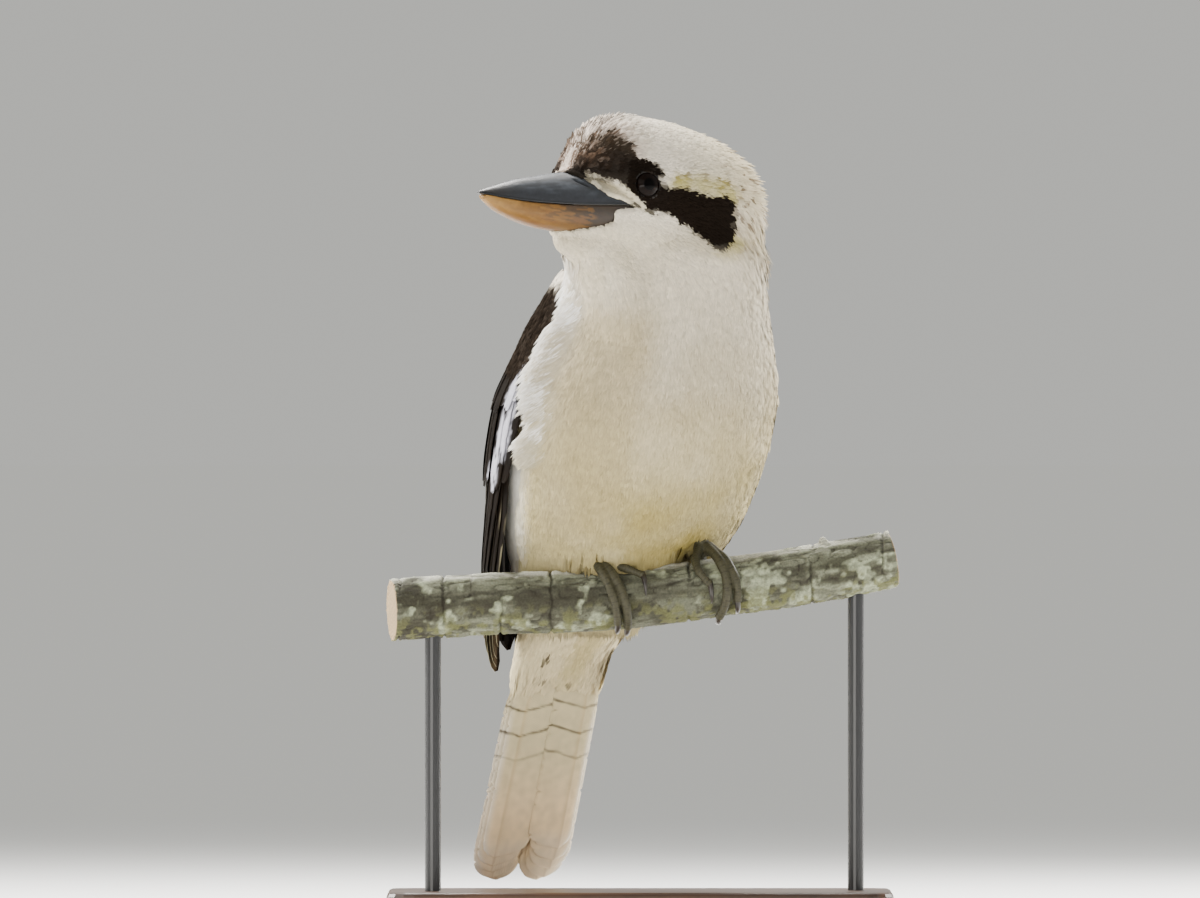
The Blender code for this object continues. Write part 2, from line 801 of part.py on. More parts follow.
# The feet
# Toes: places along the perch from the ankle at the knuckle, halfway and at the claw, the angles round the perch
# where they start and end, and the share of the full thickness.
FOOT_TOES = {
    "right": (
        (0.0015, 0.0120, 0.0215, 84, 36, 0.92),
        (0.0010, 0.0105, 0.0135, 86, -52, 1.05),
        (-0.0005, 0.0058, 0.0092, 88, -42, 1.00),
        (-0.0010, -0.0030, -0.0050, 96, 196, 1.00),
    ),
    "left": (
        (-0.0012, -0.0052, -0.0010, 84, 8, 0.92),
        (0.0012, 0.0062, 0.0020, 86, -54, 1.05),
        (0.0026, 0.0092, 0.0100, 86, -26, 0.96),
        (0.0004, 0.0012, 0.0020, 96, 196, 1.00),
    ),
}
ANKLE_LIFT = 0.0042
TOE_STEPS = 6
TOE_SIDES = 6


def toe_point(x, along_by, angle, off):
    """A point round the perch: the angle is 0 at the front and 90 on top."""
    middle, radius = perch_middle(x + along_by)
    _, up, front = perch_frame(x + along_by)
    a = math.radians(angle)
    return middle + (front * math.cos(a) + up * math.sin(a)) * (radius * 1.03 + off)


def foot(side_name, x, branch):
    pieces, rooms = [], []
    for near, halfway, far, start, end, share in FOOT_TOES[side_name]:
        radius = TOE_RADIUS * share
        points, radii = [], []
        for i in range(TOE_STEPS):
            t = i / (TOE_STEPS - 1)
            along_by = near * (1 - t) ** 2 + (2 * halfway - (near + far) / 2) * 2 * t * (1 - t) + far * t * t
            swell = 1 + 0.10 * math.cos(2 * math.pi * 3 * t)
            lift = radius * 1.02 + (ANKLE_LIFT - 0.0012) * (1 - t) ** 6
            points.append(toe_point(x, along_by, start + (end - start) * t, lift))
            radii.append(radius * swell * (1.08 - 0.30 * t))
        pieces.append(tube("toe", points, radii, TOE_SIDES))
        rooms.append(tube("toe_room", points, [r + COVER_GAP * 1.2 for r in radii], TOE_SIDES))
        turn = 1 if end > start else -1
        claw_points = [
            toe_point(x, far, end + turn * reach, radius * (0.9 + rise))
            for reach, rise in ((-4, 0.0), (9, 0.35), (20, 0.30), (29, -0.15), (34, -0.55))
        ]
        pieces.append(tube("claw", claw_points, [radius * k for k in (0.68, 0.62, 0.46, 0.28, 0.10)], 5))
    ankle = toe_point(x, 0, 90, ANKLE_LIFT)
    up = perch_frame(x)[1]
    heel = tube("heel", [ankle - up * 0.0035, ankle, ankle + up * 0.006], (0.0036, 0.0039, LEG_RADIUS), 10)
    combine(heel, pieces, "UNION")
    cut_z = ankle.z + 0.0022
    combine(heel, [big_box("over", (-0.3, -0.3, cut_z), (0.3, 0.3, 0.5))], "DIFFERENCE")
    combine(heel, [copy_of(branch, "branch_room", COVER_GAP)], "DIFFERENCE")
    keep_largest(heel)
    finish(heel, f"foot_{side_name}", (0.30, 0.27, 0.20))
    return cut_z, ankle, rooms


def leg_form(name, ankle, low_z, grown=0.0):
    """The feathered shank from the ankle up into the belly."""
    top = ankle - FORWARD * 0.0030 + UP * LEG_RISE
    points, radii = [], []
    for share in (0.0, 0.2, 0.45, 0.75, 1.0):
        points.append(ankle + (top - ankle) * share)
        radii.append(LEG_RADIUS * (1.15 + 0.95 * smoothstep(0.0, 0.6, share)) + grown)
    points[0] = Vector((ankle.x, ankle.y, low_z))
    points[-1] += UP * grown
    return tube(name, points, radii, 14)


# The stand
def rod_axis(x):
    middle, radius = perch_middle(x)
    return Vector((x, middle.y, 0)), middle.z - radius * 0.45


def rod(name, x, grown=0.0):
    foot_at, top_z = rod_axis(x)
    low = STAND_SIZE.z - ROD_SOCKET_DEPTH - grown
    high = top_z + grown
    bpy.ops.mesh.primitive_cylinder_add(
        vertices=20,
        radius=STAND_ROD_RADIUS + grown,
        depth=high - low,
        location=(foot_at.x, foot_at.y, (low + high) / 2),
    )
    made = bpy.context.active_object
    made.data.transform(made.matrix_world)
    made.matrix_world = Matrix.Identity(4)
    made.name = name
    return made


def stand_base():
    base = big_box(
        "base",
        (-STAND_SIZE.x / 2, -STAND_SIZE.y / 2, 0),
        (STAND_SIZE.x / 2, STAND_SIZE.y / 2, STAND_SIZE.z),
    )
    work = bmesh.new()
    work.from_mesh(base.data)
    upright = [e for e in work.edges if abs(e.verts[0].co.z - e.verts[1].co.z) > 0.005]
    bmesh.ops.bevel(work, geom=upright, offset=0.012, segments=4, affect="EDGES", profile=0.5)
    rim = [e for e in work.edges if all(v.co.z > STAND_SIZE.z - 1e-5 for v in e.verts)]
    bmesh.ops.bevel(work, geom=rim, offset=0.002, segments=2, affect="EDGES", profile=0.5)
    work.to_mesh(base.data)
    work.free()
    return base


def build():
    for old in list(bpy.data.objects):
        bpy.data.objects.remove(old)
    branch = perch()
    body = whole_body()

    eyes = {name: eye_frame(body, side) for name, side in (("left", 1), ("right", -1))}
    parts = part_body(body)
    room = [copy_of(branch, "branch_room", TOE_ROOM)]
    for name in ("left", "right"):
        low_z, ankle, toe_rooms = foot(name, FOOT_XS[name], branch)
        shank = leg_form("shank", ankle, low_z - 0.002)
        combine(shank, [big_box("under", (-0.3, -0.3, 0), (0.3, 0.3, low_z + GAP))], "DIFFERENCE")
        finish(shank, f"leg_{name}", (0.80, 0.78, 0.68))
        room.extend(toe_rooms)
        room.append(leg_form("leg_room", ankle, low_z - 0.002, COVER_GAP))
        room.append(ellipsoid("knuckle_room", ankle, (FORWARD, LEFTWARD, UP), (0.0085, 0.0085, 0.0046)))
    combine(parts["torso"], room, "DIFFERENCE")
    keep_largest(parts["torso"])

    lids = [eyelids(centre, way) for centre, way in eyes.values()]
    combine(parts["head"], lids, "UNION")
    room = [bill_half("upper_room", True, 0.0006), bill_half("lower_room", False, 0.0005), *bare_bill_room()]
    for centre, _ in eyes.values():
        room.append(
            ellipsoid("eye_room", centre, (BILL_WAY, HEAD_LEFT, HEAD_UP), (EYE_RADIUS + GAP,) * 3, 16, 10)
        )
    combine(parts["head"], room, "DIFFERENCE")
    keep_largest(parts["head"])
    for name, (centre, _) in eyes.items():
        eye = ellipsoid(
            "eye", centre, (BILL_WAY, HEAD_LEFT, HEAD_UP), (EYE_RADIUS,) * 3, 16, 10
        )
        finish(eye, f"eye_{name}", (0.02, 0.012, 0.01), 0.1)

    upper = bill_half("upper", True)
    combine(upper, [nostril(1), nostril(-1)], "DIFFERENCE")
    finish(upper, "bill_upper", (0.03, 0.03, 0.035), 0.4)
    finish(bill_half("lower", False), "bill_lower", (0.62, 0.42, 0.25), 0.45)

    for name, colour in (
        ("head", (0.70, 0.64, 0.56)),
        ("neck", (0.78, 0.74, 0.68)),
        ("torso", (0.80, 0.77, 0.66)),
    ):
        finish(parts[name], name, colour)

    tail_made = tail()
    for name, side, turn, raised in (("left", 1, LEFT_WING_TURN, 1), ("right", -1, 0, 0)):
        room = [copy_of(body, "body_room", COVER_GAP), copy_of(tail_made, "tail_room", COVER_GAP)]
        wing(f"wing_{name}", side, turn, raised, room)

    base = stand_base()
    for name, x in STAND_ROD_XS.items():
        combine(base, [rod("socket", x, GAP)], "DIFFERENCE")
        combine(branch, [rod("socket", x, GAP)], "DIFFERENCE")
        finish(rod("rod", x), f"stand_rod_{name}", (0.05, 0.05, 0.055), 0.4)
    finish(base, "stand_base", (0.10, 0.06, 0.04), 0.4)
    finish(branch, "perch", (0.28, 0.25, 0.21), 0.9)

    bpy.data.objects.remove(body)
    kookaburra = bpy.data.collections.new("kookaburra")
    bpy.context.scene.collection.children.link(kookaburra)
    for obj in list(bpy.context.scene.collection.objects):
        bpy.context.scene.collection.objects.unlink(obj)
        kookaburra.objects.link(obj)


build()
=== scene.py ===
"""The looks of a life-size laughing kookaburra on its perch and display stand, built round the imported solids.

Metres, +Z up, in the solids' own frame. Each operator makes one piece or one group of like pieces.
"""

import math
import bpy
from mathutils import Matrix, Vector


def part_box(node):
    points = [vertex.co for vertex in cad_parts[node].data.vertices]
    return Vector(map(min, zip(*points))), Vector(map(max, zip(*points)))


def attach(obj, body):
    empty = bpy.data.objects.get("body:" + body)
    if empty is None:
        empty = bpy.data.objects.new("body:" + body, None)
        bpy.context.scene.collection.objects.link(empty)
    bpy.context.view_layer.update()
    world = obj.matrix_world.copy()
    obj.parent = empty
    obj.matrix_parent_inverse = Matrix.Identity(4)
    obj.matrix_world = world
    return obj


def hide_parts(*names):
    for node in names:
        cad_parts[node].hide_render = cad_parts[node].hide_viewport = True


bl_info = {
    "name": "Laughing Kookaburra",
    "version": (1, 0, 0),
    "blender": (4, 5, 0),
    "location": "View3D > Sidebar > Kookaburra",
    "description": "Skin, feathers, bill, eyes, feet, perch, stand and stage of a life-size kookaburra",
    "category": "Add Mesh",
}

import bmesh
import bpy
import numpy as np
from mathutils import Vector
from mathutils.bvhtree import BVHTree

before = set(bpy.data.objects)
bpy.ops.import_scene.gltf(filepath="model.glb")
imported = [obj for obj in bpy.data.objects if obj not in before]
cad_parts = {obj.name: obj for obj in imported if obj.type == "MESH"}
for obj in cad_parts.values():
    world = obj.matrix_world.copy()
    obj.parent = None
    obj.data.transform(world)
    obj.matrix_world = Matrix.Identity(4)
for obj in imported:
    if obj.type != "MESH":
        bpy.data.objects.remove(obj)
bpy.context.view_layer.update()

# The photograph's framing: its size in pixels, the pixels in a metre at the bird, and where the origin falls
PHOTO_WIDTH = 1200
PHOTO_HEIGHT = 898
PIXELS_PER_METRE = 2300
ORIGIN_PIXEL_X = 640
FLOOR_PIXEL_Y = 937
CAMERA_DISTANCE = 14.0

# Directions and places of the bird, as its solids have them
BODY_YAW = math.radians(34)
BODY_X = 0.0008
HEAD_YAW = math.radians(47)
HEAD_PITCH = math.radians(4)
BILL_TIP = np.array((-0.07, -0.1083, 0.323))
FORWARD = np.array((math.sin(BODY_YAW), -math.cos(BODY_YAW), 0.0))
LEFTWARD = np.array((math.cos(BODY_YAW), math.sin(BODY_YAW), 0.0))
UP = np.array((0.0, 0.0, 1.0))
BILL_WAY = np.array(
    (
        -math.cos(HEAD_YAW) * math.cos(HEAD_PITCH),
        -math.sin(HEAD_YAW) * math.cos(HEAD_PITCH),
        math.sin(HEAD_PITCH),
    )
)
HEAD_LEFT = np.array((math.sin(HEAD_YAW), -math.cos(HEAD_YAW), 0.0))
HEAD_UP = np.cross(BILL_WAY, HEAD_LEFT)


def tenths(*rows):
    """Rows of places given in tenths of a millimetre, as metres."""
    return tuple(tuple(value / 10000 for value in row) for row in rows)


# The body's middle line and the folded wings' sheath: height, half width, half depth, place forward
BODY_LINE = tenths(
    (3080, 240), (2890, 179), (2640, 98), (2335, 0), (2020, -101), (1770, -190), (1580, -315),
    (1380, -482), (1180, -590),
)
WING_SECTIONS = tenths(
    (3000, 427, 407, 214), (2890, 440, 420, 179), (2780, 468, 445, 143), (2640, 517, 477, 98),
    (2510, 557, 513, 56), (2335, 602, 554, 0), (2160, 605, 556, -56), (2020, 594, 546, -101),
    (1890, 577, 530, -143), (1770, 563, 517, -182), (1600, 540, 496, -237), (1450, 508, 467, -285),
    (1310, 468, 430, -330), (1150, 412, 380, -382), (1050, 380, 352, -414),
)
# The bill: place behind its tip, half width, ridge, keel and the mouth's height
BILL_SECTIONS = tenths(
    (0, 7, 6, -8, -3), (35, 26, 19, -30, -6), (90, 46, 36, -59, -12), (220, 82, 73, -98, -20),
    (360, 114, 101, -122, -20), (500, 140, 124, -130, -16), (600, 161, 134, -128, -10),
    (680, 187, 118, -122, -4), (740, 208, 82, -105, 0), (780, 216, 50, -90, 0), (810, 196, 26, -60, 0),
)
LOWER_BILL_START = 0.003
LOWER_BILL_END = 0.0745
BILL_GAP = 0.0003
EYE_RADIUS = 0.008
EYE_SHOWN_RADIUS = 0.0057

# Outlines of the head's markings and of the bare bill's root, as (place behind the bill's tip, up)
MASK_OUTLINE = tenths(
    (730, 190), (744, 205), (805, 205), (864, 187), (887, 132), (902, 85), (974, 95), (1033, 81),
    (1090, 64), (1202, 76), (1231, 47), (1246, -30), (1226, -114), (1191, -156), (1150, -181),
    (1105, -149), (1054, -113), (991, -65), (931, -30), (880, -20), (834, -17), (764, 26), (718, 66),
    (712, 120),
)
BROWN_OUTLINE = tenths(
    (500, 90), (520, 180), (560, 215), (606, 235), (625, 252), (645, 276), (667, 300), (690, 318),
    (713, 330), (727, 326), (735, 290), (763, 272), (767, 228), (799, 203), (835, 185), (829, 119),
    (815, 31), (765, 26), (711, 72), (671, 91), (640, 103), (619, 116), (594, 130), (590, 110), (596, 86),
    (565, 90),
)
LORES_OUTLINE = tenths(
    (590, 133), (605, 121), (619, 116), (646, 102), (671, 91), (711, 72), (765, 26), (834, -17),
    (851, -27), (816, -27), (767, -12), (724, -4), (672, 10), (610, 40), (588, 80),
)
TINT_OUTLINE = tenths(
    (910, 85), (940, 150), (1060, 155), (1190, 135), (1260, 95), (1250, 40),
)
BELOW_MASK_OUTLINE = tenths(
    (1120, -180), (1170, -223), (1240, -205), (1290, -120), (1240, -90),
)
UPPER_ROOT_LINE = tenths(
    (-10, 790), (23, 701), (46, 625), (85, 596), (125, 520),
)
LOWER_ROOT_LINE = tenths(
    (-140, 692), (-99, 696), (-74, 687), (-53, 678), (-36, 676),
)


def linear(hex_colour):
    """An sRGB hex value as linear red, green and blue."""
    values = [int(hex_colour[i : i + 2], 16) / 255 for i in (1, 3, 5)]
    return np.array([v / 12.92 if v <= 0.04045 else ((v + 0.055) / 1.055) ** 2.4 for v in values])


WHITE = linear("#e6dccb")
SNOW_WHITE = linear("#fbf8f2")
# The breast's off-white, painted darker than the feathers' own white as painted shade
BREAST_WHITE_SHADED = linear("#d6ccba")
CREAM = linear("#d3c8a4")
GREY_BEIGE = linear("#b7aa90")
OLIVE_STAIN_AND_REFLECTION = linear("#988638")
PINK_WHITE = linear("#ecdccf")
YELLOW_OLIVE = linear("#9f9440")
CROWN_BROWN = linear("#332a20")
ROSE_BROWN = linear("#725b4b")
MASK_BROWN = linear("#16110d")
SPECK_BROWN = linear("#6b5a45")
MANTLE_BROWN = linear("#1c1510")
WING_BROWN = linear("#0f0b08")
WING_EDGE = linear("#332a22")
COVERT_GREY = linear("#5a5149")
SPOT_BLUE = linear("#c6c5d0")
RUFOUS = linear("#7d441f")
TAIL_CREAM = linear("#f4e7c6")
TAIL_BUFF = linear("#f0c88c")
BAR_BROWN = linear("#2e2219")
SLATE = linear("#2a2c31")
SLATE_PALE = linear("#494e56")
HORN_TAN = linear("#704c17")
HORN_PALE = linear("#946f38")
HORN_RUST = linear("#663f14")
HORN_DARK = linear("#2b241e")
TOE_OLIVE = linear("#423f2a")
TOE_DARK = linear("#1f1d12")
BARK_GREY = linear("#838670")
BARK_BROWN = linear("#464636")
BARK_DARK = linear("#2b261d")
LICHEN_PALE = linear("#aeb596")
MOSS_GREEN = linear("#6b6c41")
TOP_LIT_BARK = linear("#c9c8b9")
CUT_WOOD = linear("#b59a72")
# The skin is painted a little darker than the feathers over it, as painted shade under the coat
SKIN_PAINTED_SHADE = 0.82


def smooth(low, high, x):
    """0 on the low side, 1 on the high side, and one soft step between them."""
    t = np.clip((np.asarray(x, float) - low) / (high - low), 0.0, 1.0)
    return t * t * (3 - 2 * t)


def mixed(first, second, share):
    """Two colours, or rows of colours, mixed by the second's share."""
    share = np.asarray(share, float)[..., None]
    return first * (1 - share) + second * share


def layered(colours, *coats):
    """Colours with coats laid over them in turn, each a colour and how much of it covers."""
    for colour, share in coats:
        colours = mixed(colours, colour, share)
    return colours


def unit(vectors):
    return vectors / np.maximum(np.linalg.norm(vectors, axis=-1, keepdims=True), 1e-12)


def laid(flow, ways):
    """A way made to lie along a surface whose ways out are given."""
    return unit(flow - ways * np.sum(flow * ways, axis=1, keepdims=True))


def between(stations, place):
    """The stations' other columns at a place in their first column, on one smooth curve."""
    table = np.array(sorted(stations))
    xs, rows = table[:, 0], table[:, 1:]
    place = min(max(place, xs[0]), xs[-1])
    slopes = np.gradient(rows, xs, axis=0)
    i = min(int(np.searchsorted(xs, place, side="right")) - 1, len(xs) - 2)
    step = xs[i + 1] - xs[i]
    t = (place - xs[i]) / step
    return (
        rows[i] * (2 * t**3 - 3 * t**2 + 1)
        + slopes[i] * step * (t**3 - 2 * t**2 + t)
        + rows[i + 1] * (3 * t**2 - 2 * t**3)
        + slopes[i + 1] * step * (t**3 - t**2)
    )


def signed_power(x, power):
    return math.copysign(abs(x) ** power, x)


def in_body(forward, left, z):
    return np.array((BODY_X, 0, z)) + FORWARD * forward + LEFTWARD * left


def axis_at(z):
    """The body's middle line at a height."""
    return in_body(float(between(BODY_LINE, z)[0]), 0, z)


def in_head(back, left, up):
    return BILL_TIP - BILL_WAY * back + HEAD_LEFT * left + HEAD_UP * up


def head_place(points):
    """How far points are behind the bill's tip, left of its middle plane, and up."""
    away = points - BILL_TIP
    return -(away @ BILL_WAY), away @ HEAD_LEFT, away @ HEAD_UP


def leftward(points):
    """How far points are left of the body's middle plane."""
    return (points - np.array((BODY_X, 0, 0))) @ LEFTWARD


def body_place(points):
    """The angle from breast round to back in degrees, the side, and how far out of the middle line."""
    heights, forwards = zip(*sorted(BODY_LINE))
    middle = np.interp(points[:, 2], heights, forwards)
    ahead = (points - np.array((BODY_X, 0, 0))) @ FORWARD - middle
    left = leftward(points)
    return np.degrees(np.arctan2(np.abs(left), ahead)), np.sign(left), np.hypot(left, ahead)


def headward(points):
    """0 on the body and 1 on the head, through the neck."""
    return smooth(0.276, 0.3, points[:, 2])


def lattice(cells, seed):
    """A repeatable value from 0 to 1 for each cell of a grid."""
    x, y, z = (cells[..., k] for k in range(3))
    mixed_up = x * 73856093 ^ y * 19349663 ^ z * 83492791 ^ seed * 2654435761
    mixed_up = (mixed_up ^ (mixed_up >> 13)) * 1274126177
    return ((mixed_up ^ (mixed_up >> 16)) & 0xFFFF) / 65535.0


def cloud(points, size, seed=1):
    """Soft noise from 0 to 1 whose lumps are about the given size."""
    scaled = np.asarray(points, float) / size
    cell = np.floor(scaled).astype(np.int64)
    part = scaled - cell
    part = part * part * (3 - 2 * part)
    total = np.zeros(len(scaled))
    for corner in np.ndindex(2, 2, 2):
        weight = np.prod(np.where(np.array(corner) == 1, part, 1 - part), axis=-1)
        total += weight * lattice(cell + np.array(corner), seed)
    return total


def drawn_out(back, left, up, stretch, size, seed):
    """Noise whose lumps are drawn out along the bill's way."""
    return cloud(np.stack([back * stretch, left, up], axis=1), size, seed)


def inside(outline, x, y, soft):
    """1 well inside a closed outline and 0 well outside, over a soft band."""
    corners = np.array(outline)
    nearest = np.full(len(x), 1e9)
    crossed = np.zeros(len(x), bool)
    for (ax, ay), (bx, by) in zip(corners, np.roll(corners, -1, axis=0)):
        share = ((x - ax) * (bx - ax) + (y - ay) * (by - ay)) / ((bx - ax) ** 2 + (by - ay) ** 2)
        share = np.clip(share, 0, 1)
        nearest = np.minimum(nearest, np.hypot(x - ax - share * (bx - ax), y - ay - share * (by - ay)))
        if ay != by:
            spans = (ay > y) != (by > y)
            crossed ^= spans & (x < ax + (y - ay) / (by - ay) * (bx - ax))
    return smooth(-soft, soft, np.where(crossed, nearest, -nearest))


# Work on objects, as by hand
def deselect():
    for obj in list(bpy.context.selected_objects):
        obj.select_set(False)


def make_active(obj):
    deselect()
    obj.select_set(True)
    bpy.context.view_layer.objects.active = obj
    return obj


def apply_modifier(obj, kind, **settings):
    make_active(obj)
    bpy.ops.object.modifier_add(type=kind)
    modifier = obj.modifiers[-1]
    for key, value in settings.items():
        setattr(modifier, key, value)
    bpy.ops.object.modifier_apply(modifier=modifier.name)
    return obj


def new_object(name, data):
    made = bpy.data.objects.new(name, data)
    bpy.context.scene.collection.objects.link(made)
    return made


def join_pieces(pieces):
    deselect()
    for piece in pieces:
        piece.select_set(True)
    bpy.context.view_layer.objects.active = pieces[0]
    if len(pieces) > 1:
        bpy.ops.object.join()
    return pieces[0]


def copy_of_nodes(name, nodes, grown=0.0):
    """One object with merged copies of CAD nodes, each moved out a little so that neighbours overlap."""
    copies = []
    for node in nodes:
        made = new_object(name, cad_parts[node].data.copy())
        work = bmesh.new()
        work.from_mesh(made.data)
        bmesh.ops.remove_doubles(work, verts=work.verts, dist=1e-6)
        work.normal_update()
        for vert in work.verts:
            vert.co += vert.normal * grown
        work.to_mesh(made.data)
        work.free()
        made.data.materials.clear()
        copies.append(made)
    return join_pieces(copies)


def rows_of(mesh, key):
    """Three values for each point of a mesh."""
    rows = np.empty(len(mesh.vertices) * 3, np.float32)
    mesh.vertices.foreach_get(key, rows)
    return rows.reshape(-1, 3).astype(float)


def points_of(mesh):
    return rows_of(mesh, "co")


def normals_of(mesh):
    return rows_of(mesh, "normal")


def move_points(mesh, points):
    mesh.vertices.foreach_set("co", points.astype(np.float32).ravel())
    mesh.update()


def triangles_of(mesh):
    mesh.calc_loop_triangles()
    corners = np.empty(len(mesh.loop_triangles) * 3, np.int32)
    mesh.loop_triangles.foreach_get("vertices", corners)
    return corners.reshape(-1, 3)


def mesh_piece(name, points, triangles):
    mesh = bpy.data.meshes.new(name)
    mesh.vertices.add(len(points))
    mesh.vertices.foreach_set("co", points.astype(np.float32).ravel())
    mesh.loops.add(triangles.size)
    mesh.loops.foreach_set("vertex_index", triangles.astype(np.int32).ravel())
    mesh.polygons.add(len(triangles))
    mesh.polygons.foreach_set("loop_start", np.arange(0, triangles.size, 3, dtype=np.int32))
    mesh.update(calc_edges=True)
    return new_object(name, mesh)


def paint_points(obj, colours):
    """Puts a colour on each point, which the materials read by the name coat."""
    layer = obj.data.color_attributes.new("coat", "FLOAT_COLOR", "POINT")
    rows = np.concatenate([np.clip(colours, 0, 1), np.ones((len(colours), 1))], axis=1)
    layer.data.foreach_set("color", rows.astype(np.float32).ravel())


def lay_map(obj, name, places):
    """A UV map with one place for each point."""
    layer = obj.data.uv_layers.new(name=name)
    corners = np.empty(len(obj.data.loops), np.int32)
    obj.data.loops.foreach_get("vertex_index", corners)
    layer.data.foreach_set("uv", places[corners].astype(np.float32).ravel())


def dress(obj, name, material, replaces=(), soft=True):
    """Names a finished piece, gives it its material, and lets it ride with the object."""
    obj.name = name
    obj.data.name = name
    obj.data.materials.clear()
    obj.data.materials.append(material)
    if soft:
        make_active(obj)
        bpy.ops.object.shade_smooth()
    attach(obj, "root")
    if replaces:
        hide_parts(*replaces)
    return obj


# Materials
def set_input(made, key, value):
    """Sets a node's input by its name in small letters, and says whether there is one."""
    for socket in made.inputs:
        if socket.name.lower().replace(" ", "_") == key:
            socket.default_value = value
            return True
    return False


def node(tree, kind, links=None, **settings):
    """Adds a node: settings named after its inputs or properties, and links from sockets into its inputs."""
    made = tree.nodes.new(kind)
    for key, value in settings.items():
        if not set_input(made, key, value):
            setattr(made, key, value)
    for key, source in (links or {}).items():
        tree.links.new(source, made.inputs[key])
    return made


def new_material(name, roughness, ior=1.5, **sockets):
    """A Principled shader with its steady values set straight on its sockets."""
    material = bpy.data.materials.new(name)
    material.use_nodes = True
    tree = material.node_tree
    shader = tree.nodes["Principled BSDF"]
    for key, value in {"roughness": roughness, "ior": ior, **sockets}.items():
        if not set_input(shader, key, value):
            raise KeyError(key)
    return material, tree, shader


def painted_colour(tree):
    """The colours on the points."""
    return node(tree, "ShaderNodeAttribute", attribute_name="coat").outputs["Color"]


def object_place(tree):
    return node(tree, "ShaderNodeTexCoord").outputs["Object"]


def set_surface(tree, shader, colour, height=None, distance=0.0, strength=0.0):
    """Gives a shader its colour, and a relief of the given depth where there is a height."""
    tree.links.new(colour, shader.inputs["Base Color"])
    if height is not None:
        bump = node(tree, "ShaderNodeBump", {"Height": height}, distance=distance, strength=strength)
        tree.links.new(bump.outputs["Normal"], shader.inputs["Normal"])


def scaled_colour(tree, colour, factor):
    return node(tree, "ShaderNodeVectorMath", {0: colour, 1: factor}, operation="MULTIPLY").outputs[0]


def varied(tree, colour, size, low, high, detail=3.0):
    """A colour that lightens and darkens over lumps of about the given size in metres."""
    noise = node(tree, "ShaderNodeTexNoise", {"Vector": object_place(tree)}, scale=1 / size, detail=detail)
    lumps = noise.outputs["Fac"]
    spread = {"from_min": 0.3, "from_max": 0.7, "to_min": low, "to_max": high}
    factor = node(tree, "ShaderNodeMapRange", {"Value": lumps}, **spread).outputs["Result"]
    return scaled_colour(tree, colour, factor), lumps


def keratin_vane(name, barb_pitch, sheen):
    """Feather vanes: thin keratin, matt and finely ribbed by its barbs."""
    material, tree, shader = new_material(
        name, 0.6, 1.54, sheen_weight=sheen, sheen_roughness=0.4, specular_ior_level=0.02
    )
    place = node(tree, "ShaderNodeUVMap", uv_map="vane").outputs["UV"]
    # The barbs run out from the shaft towards the tip, so the ribs run along the vane plus the way across.
    # They are coarser than life, because real barbs are too fine to be seen from here
    parts = node(tree, "ShaderNodeSeparateXYZ", {"Vector": place})
    out = node(tree, "ShaderNodeMath", {0: parts.outputs["X"]}, operation="ABSOLUTE").outputs[0]
    lean = node(tree, "ShaderNodeMath", {0: out, 2: parts.outputs["Y"]}, operation="MULTIPLY_ADD")
    lean.inputs[1].default_value = -0.75
    along = node(tree, "ShaderNodeCombineXYZ", {"X": lean.outputs[0]}).outputs[0]
    scale = 1 / (barb_pitch * 2 * math.pi) * 2
    ribs = node(tree, "ShaderNodeTexWave", {"Vector": along}, scale=scale, distortion=1.2, detail=2.0)
    height = ribs.outputs["Fac"]
    shade = node(tree, "ShaderNodeMapRange", {"Value": height}, to_min=0.86, to_max=1.06).outputs["Result"]
    tinted, _ = varied(tree, scaled_colour(tree, painted_colour(tree), shade), 0.004, 0.9, 1.08)
    set_surface(tree, shader, tinted, height, 0.00006, 0.5)
    return material


def down_feather(name, roughness, sheen, low=0.93, high=1.05):
    """Small body feathers: soft loose barbs that scatter light, with no gloss."""
    material, tree, shader = new_material(
        name, roughness, 1.45, sheen_weight=sheen, sheen_roughness=0.5, specular_ior_level=0.0
    )
    tinted, _ = varied(tree, painted_colour(tree), 0.0025, low, high)
    set_surface(tree, shader, tinted)
    return material


def painted_material(name, roughness, ior, grain, low, high, relief, roughness_high=None, **sockets):
    """A surface whose own colours are on its points, broken up by fine grain that also gives its relief."""
    material, tree, shader = new_material(name, roughness, ior, **sockets)
    tinted, lumps = varied(tree, painted_colour(tree), grain, low, high, 5.0)
    if roughness_high:
        rough = node(tree, "ShaderNodeMapRange", {"Value": lumps}, to_min=roughness, to_max=roughness_high)
        tree.links.new(rough.outputs["Result"], shader.inputs["Roughness"])
    set_surface(tree, shader, tinted, lumps, relief, 0.6)
    return material


# The head's and body's own markings
def bill_at(back, column):
    """A column of the bill's sections at places behind the tip."""
    return np.interp(back, [row[0] for row in BILL_SECTIONS], [row[column] for row in BILL_SECTIONS])


def bare(points):
    """How bare of feathers a place is: the bill in front of its root lines, and the eyes."""
    back, left, up = head_place(points)
    half, keel, mouth = (bill_at(back, column) for column in (1, 3, 4))
    upper = np.interp(up, *zip(*UPPER_ROOT_LINE))
    lower = np.interp(up, *zip(*LOWER_ROOT_LINE))
    edge = np.where(up > mouth - 0.0004, upper, np.where(up > mouth - 0.002, 0.076, lower))
    # Chin feathers begin where the outline leaves the underside of the bill
    under = mouth + (keel - mouth) * np.clip(1 - (np.abs(left) / half) ** 2.4, 0, 1) ** (1 / 2.4)
    chin = (up < under - 0.0004) & (up < mouth - 0.004)
    jagged = 0.0009 * (cloud(points, 0.0016, 5) - 0.5)
    bill = np.where(chin | (back > 0.082), 0.0, smooth(0.0003, -0.0003, back - edge + jagged))
    return np.maximum(bill, eye_cover(points, 0.0003))


